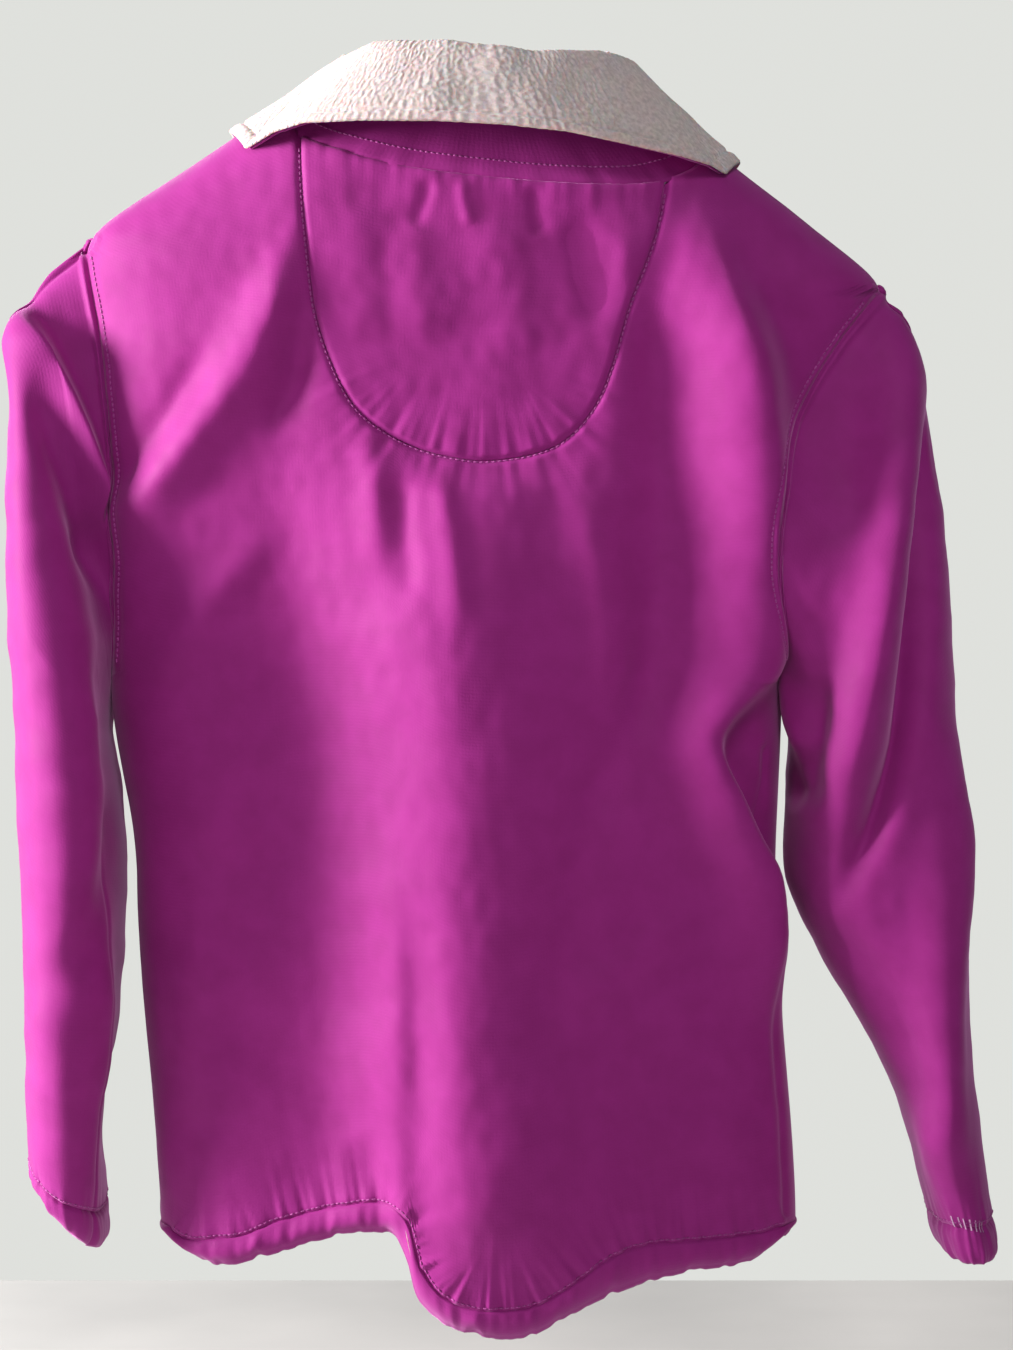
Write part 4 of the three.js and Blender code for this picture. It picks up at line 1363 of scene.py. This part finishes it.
def make_collar():
    grid = collar_grid()
    n = face_normals(grid, False)
    middle = COLLAR_TURNS // 2
    if n[middle, 2] @ np.array([0, 1.0, 0]) < 0:
        n = -n
    steps = np.linspace(0, 1, COLLAR_STEPS)
    ripple = 0.8 * uneven(RIPPLE, grid[..., 0] * 1.5, grid[..., 2] * 1.5)
    ripple = ripple * np.sin(math.pi * steps) ** 0.5
    puckers = gathered(length_along(grid[:, 0]), 71, 15)[:, None] * np.exp(-steps[None] * 18) * 0.3
    middle_line = grid + n * (ripple + puckers)[..., None]
    outer = middle_line + n * COLLAR_OFF
    shell = cloth("collar_shell_cloth", outer, [SHELL, SHELL], thick=1.2, away=n, bulge=0.4)
    finish_cloth(shell, "jacket", "shell_fabric", ["collar_shell"])
    lining = fleece_layer(middle_line, n)
    finish_cloth(lining, "jacket", "fleece", ["collar_lining"])
    row = 3
    stitch_row("neck_seam_stitches", outer[4:-4, row], n[4:-4, row], "jacket", pitch=SEAM_PITCH)
    return shell, lining, middle_line, n


def fleece_layer(middle_line, n):
    """The fleece of the collar: pile on the side that shows, thicker over the free edge."""
    fine_turns = np.linspace(0, 1, 900)
    fine_steps = np.concatenate([np.linspace(0, 0.35, 40), np.linspace(0.36, 1, 190)])
    base = resample_grid(middle_line, fine_turns, fine_steps)
    out = -unit(resample_grid(n, fine_turns, fine_steps))
    length = np.linalg.norm(np.diff(base, axis=0), axis=2).mean(axis=1).sum()
    depth = np.linalg.norm(np.diff(base, axis=1), axis=2).mean(axis=0)
    across = running(depth)[None]
    along = (fine_turns * length)[:, None]
    rng = np.random.default_rng(5)
    pile = np.zeros(base.shape[:2])
    for _ in range(46):
        turn = rng.normal(0, 0.55)
        k = 2 * math.pi / rng.uniform(1.5, 3.6)
        phase = rng.uniform(0, 2 * math.pi)
        pile += np.cos(k * (math.cos(turn) * along + 0.45 * math.sin(turn) * across) + phase)
    pile = np.clip(pile / math.sqrt(23), -1.2, 1.6) * 0.14
    from_edge = across[0, -1] - across
    edge_line = from_edge - 6.5
    pile = pile - 1.0 * ridge(edge_line, 1.1) + 0.5 * ridge(from_edge - 2.5, 2.5)
    wrap = np.clip(1 - from_edge / 1.5, 0, 1) ** 2
    grid = base + out * (2.2 + pile)[..., None]
    spread_out = unit(base[:, -1] - base[:, -3])
    grid = grid + (spread_out[:, None] * wrap[..., None]) * 1.2
    return cloth("collar_fleece", grid, [FLEECE, FLEECE], thick=1.9, away=out, bulge=0.7)


def resample_grid(grid, rows, cols):
    """The grid at other rows and columns, both running from 0 to 1."""
    a, b = np.linspace(0, 1, grid.shape[0]), np.linspace(0, 1, grid.shape[1])
    by_column = np.stack([read_off(rows, a, grid[:, j]) for j in range(grid.shape[1])], 1)
    return np.stack([read_off(cols, b, row) for row in by_column])


collar_shell, collar_fleece, collar_middle, collar_out = make_collar()

# ---------------------------------------------------------------- the sleeves

SLEEVE_CLEAR = 5
SEAM_CLEAR = 1.0
SLEEVE_RUN = 640
CUFF_RADIUS = 33
# The left sleeve's own seam: the turn it runs at, and the sleeve's radius there.
LEFT_SEAM_TURN = 2.35
LEFT_SEAM_RADIUS = 38
SLEEVE_RIPPLE = waves(9, 20, 26, 90)
CUFF_SHARE = {name: 20 / ((1 - side["stations"][-2][3]) * side["inner"] * 8) for name, side in SIDES.items()}


def sleeve_surface(side, turn, s):
    """A sleeve's outer face. turn 0 is its outer edge, a quarter turn the back.

    It starts on the armhole's edge and eases into its own ovals over the first three stations.
    """
    outer = [(SHOULDER_HALF + FABRIC + SEAM_CLEAR, TIP)]
    inner = [(side["underarm"] + FABRIC + SLEEVE_CLEAR, UNDERARM)]
    depths = [side["stations"][0][4]]
    for out, outer_share, clear, inner_share, depth in side["stations"]:
        outer.append((SHOULDER_HALF + out, TIP - outer_share * side["outer"]))
        z = UNDERARM - inner_share * side["inner"]
        inner.append((half_width(side["sign"], z) + FABRIC + SLEEVE_CLEAR + clear, z))
        depths.append(depth)
    depth = np.interp(s * (len(depths) - 1), range(len(depths)), depths)
    oval = sleeve_oval(side, turn, catmull(outer, s), catmull(inner, s), depth)
    start = sleeve_oval(side, turn, np.array(outer[0]), np.array(inner[0]), depths[0])
    fade = 1 - ease(0, 3 / 8, s)
    return oval + fade[..., None] * (sleeve_seam(side, turn) - start)


def sleeve_oval(side, turn, outer, inner, depth):
    """The oval between a sleeve's outer and inner edge."""
    c, w = soft(np.cos(turn), SLEEVE_POWER), soft(np.sin(turn), SLEEVE_POWER)
    flat = (outer + inner) / 2 + (outer - inner) / 2 * c[..., None]
    return np.stack([side["sign"] * flat[..., 0], depth * w, flat[..., 1]], -1)


def sleeve_seam(side, turn, inside=0.0, off=0.0):
    """The sleeve's start, along the body's armhole edge."""
    back = np.sin(turn) >= 0
    z = mix(TIP, UNDERARM, (1 - np.cos(turn)) / 2)
    rings = []
    for behind in (True, False):
        p = share_at(armhole(side, z, behind) - side["sign"] * inside, z)
        at = body(p, z, behind)
        n = normals(p, z, behind)
        skin = back_skin(p, z) if behind else front_skin(p, z)
        lift = ((skin - at) * n).sum(-1)
        at[..., 2] = z
        rings.append(at + n * (lift + off)[..., None])
    return np.where(back[..., None], *rings)


def sleeve_outer(name, turn, s):
    """The finished outer face, with its folds."""
    side = SIDES[name]
    base = tilt(sleeve_surface(side, turn, s))
    n = face_normals(base, True)
    if (n * (base - base.mean(axis=1, keepdims=True))).sum() < 0:
        n = -n
    x, z = shown(base)
    facing = ease(-0.1, 0.5, n[..., 1])
    relief = fold_relief(SLEEVE_FOLDS[name], x, z) * facing
    relief += 0.55 * uneven(SLEEVE_RIPPLE, x, z) + 0.12 * uneven(FINE_RIPPLE, x, z)
    relief = relief * ease(0.0, 0.06, s)
    run = s * SLEEVE_RUN
    relief += 1.9 * ridge(run - 7, 5.0) * ease(0, 4, run)
    cuff = (1 - CUFF_SHARE[name] - s) * SLEEVE_RUN
    relief -= 1.0 * ridge(cuff, 2.0)
    relief += 0.5 * gathered(turn * CUFF_RADIUS, 81, 11) * np.exp(-np.abs(cuff) / 9)
    if name == "left":
        seam = (turn - LEFT_SEAM_TURN + math.pi) % (2 * math.pi) - math.pi
        relief -= 1.4 * ridge(seam * LEFT_SEAM_RADIUS, 1.6) * ease(0.45, 0.7, s)
    return base + n * relief[..., None], n


SLEEVE_TURNS = np.linspace(0, 2 * math.pi, 190, endpoint=False)


def make_sleeve(name):
    """A whole sleeve, tucked into the armhole at its start and blended at its joint."""
    side = SIDES[name]
    cuff = 1 - CUFF_SHARE[name]
    ss = spread((0.0, 0.03, 0.002), (0.03, cuff - 0.02, 0.0045), (cuff - 0.02, cuff - 0.0012, 0.002))
    turn, s = np.meshgrid(SLEEVE_TURNS, ss)
    grid, _ = sleeve_outer(name, turn, s)
    rows = ((6, -2.4), (3, -2.2), (0.8, -1.0))
    tucked = [tilt(sleeve_seam(side, SLEEVE_TURNS, inside, off)) for inside, off in rows]
    grid = np.concatenate([np.array(tucked), grid])
    sleeve = cloth(f"{name}_sleeve_cloth", grid, [SHELL, FLEECE], closed=True, edging=60)
    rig.slot(sleeve, "shell_fabric")
    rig.replaces(sleeve, f"{name}_sleeve_head", f"{name}_sleeve")
    start, end = (Vector((side["sign"] * 225, 0, side["split"] + by)) * MM for by in (60, -60))
    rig.blend(sleeve, "jacket", f"{name}_lower_sleeve", start=start, end=end)
    return sleeve


def make_cuff(name):
    """The turned-up hem at the cuff. q runs from 0 at its stitches to 1 at its edge."""
    cuff = 1 - CUFF_SHARE[name]
    ss = np.concatenate([[cuff - 0.008, cuff - 0.004], np.linspace(cuff + 0.0006, 1, 18)])
    turn, s = np.meshgrid(SLEEVE_TURNS, ss)
    grid, n = sleeve_outer(name, turn, s)
    q = np.maximum((s - cuff) / (1 - cuff), 0)
    swell = -0.5 + 1.4 * np.sin(math.pi * np.clip(q, 0, 1)) ** 0.6 - 2.2 * q**6 - 1.8 * (s < cuff)
    swell = swell + 0.6 * gathered(turn * CUFF_RADIUS, 82, 13) * q
    band = cloth(
        f"{name}_cuff_cloth", grid + n * swell[..., None], [SHELL, FLEECE],
        thick=HEM_THICK, closed=True, bulge=0.5,
    )
    return finish_cloth(band, f"{name}_lower_sleeve", "shell_fabric", [f"{name}_cuff_hem"])


def cuff_stitches(name):
    cuff = 1 - CUFF_SHARE[name]
    turn, s = np.meshgrid(np.linspace(0, 2 * math.pi, 160)[:-1], cuff - np.array([0.006, 0.0045, 0.003]))
    grid, n = sleeve_outer(name, turn, s)
    line = np.vstack([grid[1], grid[1][:1]])
    out = np.vstack([n[1], n[1][:1]])
    stitch_row(f"{name}_cuff_stitches", line, out, f"{name}_lower_sleeve", pitch=SEAM_PITCH)


# The print's two ends in the view, its bars' places between them, and columns round the sleeve.
MARK_LEFT, MARK_RIGHT = (-257, -590), (-275, -593)
MARK_TURNS = 720
MARK_BARS = [0.0, 0.16, 0.30, 0.46, 0.62, 0.76, 0.9]


def find_on_sleeve(name, x, z):
    """The turn and share down of the sleeve's place that shows at x and z."""
    turns = np.linspace(0.2, 2.9, 240)
    ss = np.linspace(0.7, 1, 160)
    turn, s = np.meshgrid(turns, ss)
    base, _ = sleeve_outer(name, turn, s)
    at_x, at_z = shown(base)
    nearest = np.argmin((at_x - x) ** 2 + (at_z - z) ** 2)
    return turn.ravel()[nearest], s.ravel()[nearest]


def cuff_mark():
    """A small print above the right cuff: a plain row of bars in place of lettering."""
    ta, sa = find_on_sleeve("right", *MARK_LEFT)
    tb, sb = find_on_sleeve("right", *MARK_RIGHT)
    ring = np.linspace(0, 2 * math.pi, MARK_TURNS, endpoint=False)
    wide, high = 5, 4
    rows = np.linspace(-0.0042, 0.0042, high)
    bars = []
    for share in MARK_BARS:
        middle_turn, middle_s = mix(ta, tb, share), mix(sa, sb, share)
        turn, s = np.meshgrid(ring, middle_s + rows)
        grid, n = sleeve_outer("right", turn, s)
        column = int(round(middle_turn / (2 * math.pi) * MARK_TURNS)) % MARK_TURNS
        near = slice(column - wide // 2, column + wide // 2 + 1)
        bars.append(grid[:, near] + 0.3 * n[:, near])
    points = np.concatenate([bar.reshape(-1, 3) for bar in bars])
    quads = []
    for k in range(len(bars)):
        for i in range(high - 1):
            for j in range(wide - 1):
                a = wide * (high * k + i) + j
                quads.append([a, a + 1, a + wide + 1, a + wide])
    mark = make_mesh("cuff_mark", points, quads, np.zeros(len(quads), int), None, [PRINT])
    finish_cloth(mark, "right_lower_sleeve", "shell_fabric")


sleeves = {}
for name in SIDES:
    sleeves[name] = (make_sleeve(name), make_cuff(name))
    cuff_stitches(name)
cuff_mark()

for name, side in SIDES.items():
    z = np.linspace(TIP - 10, UNDERARM + 6, 90)
    p = share_at(armhole(side, z, True) - side["sign"] * 4.2, z)
    out = normals(p, z, True)
    stitch_row(f"{name}_back_armhole_stitches", back_skin(p, z), out, "jacket", pitch=SEAM_PITCH)

# ---------------------------------------------------------------- the zips

TAPE_Y = -60.3
TAPE_THICK = 0.8
TEETH_PITCH = 2.5
# A pocket bag's near and far side, bottom and top, and how far behind the front it hangs.
BAG_BOX = (30, 140, -555, -365)
BAG_BEHIND = 4.6


def tooth():
    """One moulded tooth along x, with a rounded head. A section is its x, half height and half depth."""
    corners = [(-1, -.6), (-.6, -1), (.6, -1), (1, -.6), (1, .6), (.6, 1), (-.6, 1), (-1, .6)]
    points, faces = [], []
    sections = [(-2.2, 0.9, 1.0), (0.2, 1.05, 1.15), (0.9, 0.7, 1.15), (1.5, 0.95, 1.1), (2.1, 0.6, 0.8)]
    for x, hz, hy in sections:
        points += [(x, hy * y, hz * z) for y, z in corners]
    for i in range(len(sections) - 1):
        for k in range(8):
            j = (k + 1) % 8
            faces.append([8 * i + k, 8 * i + j, 8 * i + 8 + j, 8 * i + 8 + k])
    faces += [list(range(8))[::-1], [8 * (len(sections) - 1) + k for k in range(8)]]
    return points, faces


def zip_half(sign, name):
    """One side of the front zip: a ribbed tape and its teeth, half a pitch from the other side's."""
    x = sign * 11.6 + np.linspace(-8.2, 8.2, 14)
    x, z = np.meshgrid(x, np.linspace(ZIP_BOTTOM + 10.4, ZIP_TOP, 240))
    rib = 0.12 * np.sin((x - sign * 11.6) * 2.4)
    grid = np.stack([x, TAPE_Y - rib - TAPE_THICK / 2, z], -1)
    piece = cloth(f"{name}_zip_tape_cloth", grid, [TAPE], thick=TAPE_THICK, away=FORWARD)
    finish_cloth(piece, "jacket", "zip_tape", [f"{name}_zip_tape"])
    later = 0 if sign > 0 else TEETH_PITCH / 2
    at = np.arange(ZIP_BOTTOM + 12 + later, ZIP_TOP - 1, TEETH_PITCH)
    places = np.stack([np.full_like(at, sign * 1.75), np.full_like(at, TAPE_Y), at], -1)
    turns = np.tile(np.diag([-0.62 * sign, 1.0, 1.0]), (len(at), 1, 1))
    teeth = many(f"{name}_zip_teeth", tooth(), (places, turns), PLASTIC)
    finish_cloth(teeth, "jacket", "zip_plastic", [f"{name}_zip_chain"])


def pocket_tape(sign, name):
    v = np.linspace(-POCKET_LENGTH / 2 - 6, POCKET_LENGTH / 2 + 6, 60)
    x, z = pocket_place(sign, *np.meshgrid(np.linspace(-14, 14, 22), v))
    grid = front_skin(share_at(x, z), z, off=-1.2, relief=False)
    piece = cloth(f"{name}_pocket_tape_cloth", grid, [TAPE], thick=TAPE_THICK, away=FORWARD)
    finish_cloth(piece, "jacket", "zip_tape", [f"{name}_pocket_tape"])


def pocket_teeth(sign, name):
    c, s = math.cos(POCKET_SLANT), math.sin(POCKET_SLANT)
    places, turns = [], []
    for k, at in enumerate(np.arange(-POCKET_LENGTH / 2 + 3, POCKET_LENGTH / 2 - 3, 1.3)):
        way = 1 if k % 2 else -1
        x, z = pocket_place(sign, np.array([way * 1.4]), at)
        q = share_at(x, z)
        out = normals(q, z, False)[0]
        places.append(front_skin(q, z, off=0.3, relief=False)[0])
        up = np.array([-sign * s, 0, c])
        up = unit(up - (up @ out) * out)
        side_way = np.cross(up, out)
        turns.append(np.stack([-way * sign * side_way, -out, up], -1) * np.array([0.8, 1, 0.95]))
    teeth = many(f"{name}_pocket_teeth", tooth(), (np.array(places), np.array(turns)), PLASTIC)
    finish_cloth(teeth, "jacket", "zip_plastic", [f"{name}_pocket_chain"])


def pocket_bag(sign, name):
    near, far, low, high = BAG_BOX
    x, z = np.meshgrid(np.linspace(near, far, 60) * sign, np.linspace(low, high, 90))
    p = share_at(x, z)
    puff = 1.6 * uneven(FRONT_RIPPLE, x, z) - 0.5
    beside_edge = np.minimum(np.abs(x) - near, far - np.abs(x))
    inside = np.minimum(beside_edge, np.minimum(z - low, high - z))
    behind = BAG_BEHIND - puff * ease(0, 8, inside)
    grid = body(p, z, False) - normals(p, z, False) * behind[..., None]
    bag = cloth(f"{name}_pocket_bag_cloth", grid, [NET], thick=0.9, away=FORWARD)
    return finish_cloth(bag, "jacket", "pocket_mesh", [f"{name}_pocket_bag"])


bags = {}
for name, side in SIDES.items():
    zip_half(side["sign"], name)
    pocket_tape(side["sign"], name)
    pocket_teeth(side["sign"], name)
    bags[name] = pocket_bag(side["sign"], name)


def collar_zip(end, name):
    """Above the slider each half of the zip follows its end of the collar."""
    line = collar_middle[end]
    inner = collar_middle[1 if end == 0 else -2]
    across = unit(line - inner)
    out = collar_out[end]
    cols = np.linspace(0.9, 6, 6)
    grid = line[:, None] + across[:, None] * cols[None, :, None] + out[:, None] * 0.4
    piece = cloth(f"{name}_collar_zip_cloth", grid, [TAPE], thick=TAPE_THICK, away=out[:, None])
    finish_cloth(piece, "jacket", "zip_tape", [f"{name}_collar_zip"])
    flat, _ = evenly(line[4:-2], TEETH_PITCH)
    run, old_run = np.linspace(0, 1, len(flat)), np.linspace(0, 1, len(across))
    side_way = read_off(run, old_run, across)
    up = unit(np.gradient(flat, axis=0))
    side_way = unit(side_way - (side_way * up).sum(1)[:, None] * up)
    turns = np.stack([side_way * 0.7, np.cross(up, side_way), up], -1)
    teeth = many(f"{name}_collar_teeth", tooth(), (flat + side_way * 5.0, turns), PLASTIC)
    finish_cloth(teeth, "jacket", "zip_plastic")


collar_zip(0, "left")
collar_zip(-1, "right")


def storm_flap():
    z, x = np.meshgrid(np.linspace(ZIP_BOTTOM, ZIP_TOP, 200), np.linspace(-26, 26, 26), indexing="ij")
    y = -54.9 + 0.5 * uneven(FRONT_RIPPLE, x, z) + 0.35 * np.cos(x * 0.12)
    flap = cloth("storm_flap_cloth", np.stack([x, y, z], -1), [SHELL, FLEECE], thick=1.3, away=FORWARD)
    return finish_cloth(flap, "jacket", "shell_fabric", ["storm_flap"])


flap = storm_flap()


def hang_loop():
    """A tape that stands off the neck, both ends in the seam."""
    line = [(-17, 59.4), (-16.6, 55), (-13, 53.1), (0, 52.6), (13, 53.1), (16.6, 55), (17, 59.4)]
    path = catmull(line, np.linspace(0, 1, 60))
    zs = np.linspace(-44, -36, 10)
    grid = np.array([[(x, y, z + 0.2 * math.sin(x * 0.4)) for z in zs] for x, y in path])
    loop = cloth("hang_loop_tape", grid, [TAPE], thick=1.0, away=FORWARD)
    return finish_cloth(loop, "jacket", "zip_tape", ["hang_loop"])


def neck_label():
    x, z = np.meshgrid(np.linspace(-22, 22, 40), np.linspace(-78, -48, 30))
    y = 56.4 + 0.25 * np.sin(x * 0.25) * np.cos(z * 0.2)
    piece = cloth("neck_label_cloth", np.stack([x, y, z], -1), [LABEL], thick=0.5, away=FORWARD)
    finish_cloth(piece, "jacket", "label", ["neck_label"])
    ring = [(-20.5, -76.5), (20.5, -76.5), (20.5, -49.5), (-20.5, -49.5), (-20.5, -76.5)]
    flat, _ = evenly(ring, 1.0)
    points = np.stack([flat[:, 0], np.full(len(flat), 56.1), flat[:, 1]], -1)
    stitch_row("neck_label_stitches", points, np.tile(FORWARD, (len(points), 1)), "jacket", pitch=2.4)


hang_loop()
neck_label()

# ---------------------------------------------------------------- the CAD pieces that stay

for name, thing in frame["nodes"].items():
    if thing.hide_render:
        continue
    finish = PLASTIC if "pull" in name else METAL
    thing.data.materials.clear()
    thing.data.materials.append(finish)

# ---------------------------------------------------------------- what is cloth

# Each sheet as it was cut: its width and length, and the area of the cut, in metres.
FLAT = {
    "back": ((0.46, 0.66), 0.232),
    "yoke": ((0.205, 0.185), 0.0235),
    "left_front": ((0.235, 0.62), 0.110),
    "right_front": ((0.235, 0.62), 0.100),
    "left_sleeve": ((0.33, 0.53), 0.130),
    "right_sleeve": ((0.33, 0.54), 0.124),
    "collar_shell": ((0.56, 0.14), 0.066),
    "collar_fleece": ((0.57, 0.145), 0.070),
    "storm_flap": ((0.053, 0.555), 0.0293),
    "pocket_bag": ((0.11, 0.19), 0.0208),
}


def declare(thing, cut, with_pieces=()):
    flat, area = FLAT[cut]
    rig.sheet(thing, flat=flat, held="hung", area=area, with_pieces=list(with_pieces))


declare(back, "back", [back_hem])
declare(yoke, "yoke")
declare(collar_shell, "collar_shell")
declare(collar_fleece, "collar_fleece")
declare(flap, "storm_flap")
for name in SIDES:
    sleeve, band = sleeves[name]
    front, front_hem = fronts[name]
    declare(front, f"{name}_front", [front_hem])
    declare(sleeve, f"{name}_sleeve", [band])
    declare(bags[name], "pocket_bag")

# ---------------------------------------------------------------- floor, light and camera


def floor():
    size, level, cut = 1600, -760, -560
    mesh = bpy.data.meshes.new("floor")
    corners = [(-size, cut), (size, cut), (size, size), (-size, size)]
    mesh.from_pydata([(x * MM, y * MM, level * MM) for x, y in corners], [], [(0, 1, 2, 3)])
    thing = bpy.data.objects.new("floor", mesh)
    mesh.materials.append(floor_finish())
    bpy.context.scene.collection.objects.link(thing)
    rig.stage(thing)


def stand(name, what, place_at, aim_at):
    """Puts a light or the camera at a place, turned towards another."""
    thing = bpy.data.objects.new(name, what)
    thing.location = place_at
    thing.rotation_euler = (Vector(aim_at) - Vector(place_at)).to_track_quat("-Z", "Y").to_euler()
    bpy.context.scene.collection.objects.link(thing)
    return thing


def area_light(name, place_at, aim_at, size, power, tint=(1, 1, 1)):
    light = bpy.data.lights.new(name, "AREA")
    light.shape, light.size, light.energy, light.color = "DISK", size, power, tint
    stand(name, light, place_at, aim_at)


def spot_light(name, place_at, aim_at, size, power):
    light = bpy.data.lights.new(name, "SPOT")
    light.energy, light.shadow_soft_size = power, size
    light.spot_size, light.spot_blend = math.radians(19), 1.0
    stand(name, light, place_at, aim_at)


def world():
    made = bpy.data.worlds.new("studio")
    bpy.context.scene.world = made
    made.use_nodes = True
    tree = made.node_tree
    back_colour = tree.nodes["Background"]
    back_colour.inputs["Color"].default_value = (0.74, 0.75, 0.72, 1)
    fill = tree.nodes.new("ShaderNodeBackground")
    fill.inputs["Color"].default_value = (0.96, 0.98, 1.0, 1)
    fill.inputs["Strength"].default_value = 0.15
    pick = tree.nodes.new("ShaderNodeMixShader")
    ray = tree.nodes.new("ShaderNodeLightPath")
    tree.links.new(ray.outputs["Is Camera Ray"], pick.inputs[0])
    tree.links.new(fill.outputs[0], pick.inputs[1])
    tree.links.new(back_colour.outputs[0], pick.inputs[2])
    tree.links.new(pick.outputs[0], tree.nodes["World Output"].inputs[0])


def camera():
    eye = bpy.data.cameras.new("camera")
    eye.sensor_fit = "VERTICAL"
    eye.sensor_height = 24
    eye.lens = 24 * DISTANCE / FRAME_HEIGHT
    bpy.context.scene.camera = stand("camera", eye, EYE * MM, AIM * MM)


floor()
world()
area_light("window", (2.6, 0.46, 0.3), (0, 0.05, -0.3), 0.9, 190, (1, 0.985, 0.96))
area_light("room", (-0.5, 2.6, 0.7), (0, 0, -0.35), 1.8, 5)
area_light("front_fill", (0.9, -2.3, 0.6), (0, 0, -0.3), 1.4, 30)
spot_light("collar_light", (-0.3, 1.5, 1.2), (-0.09, 0.07, 0.01), 0.5, 210)
camera()
bpy.context.scene.view_settings.view_transform = "Standard"

with open("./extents.json", "w") as out_file:
    for found in (CAD_BOX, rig.bounds()):
        out_file.write(json.dumps([list(corner) for corner in found]) + "\n")
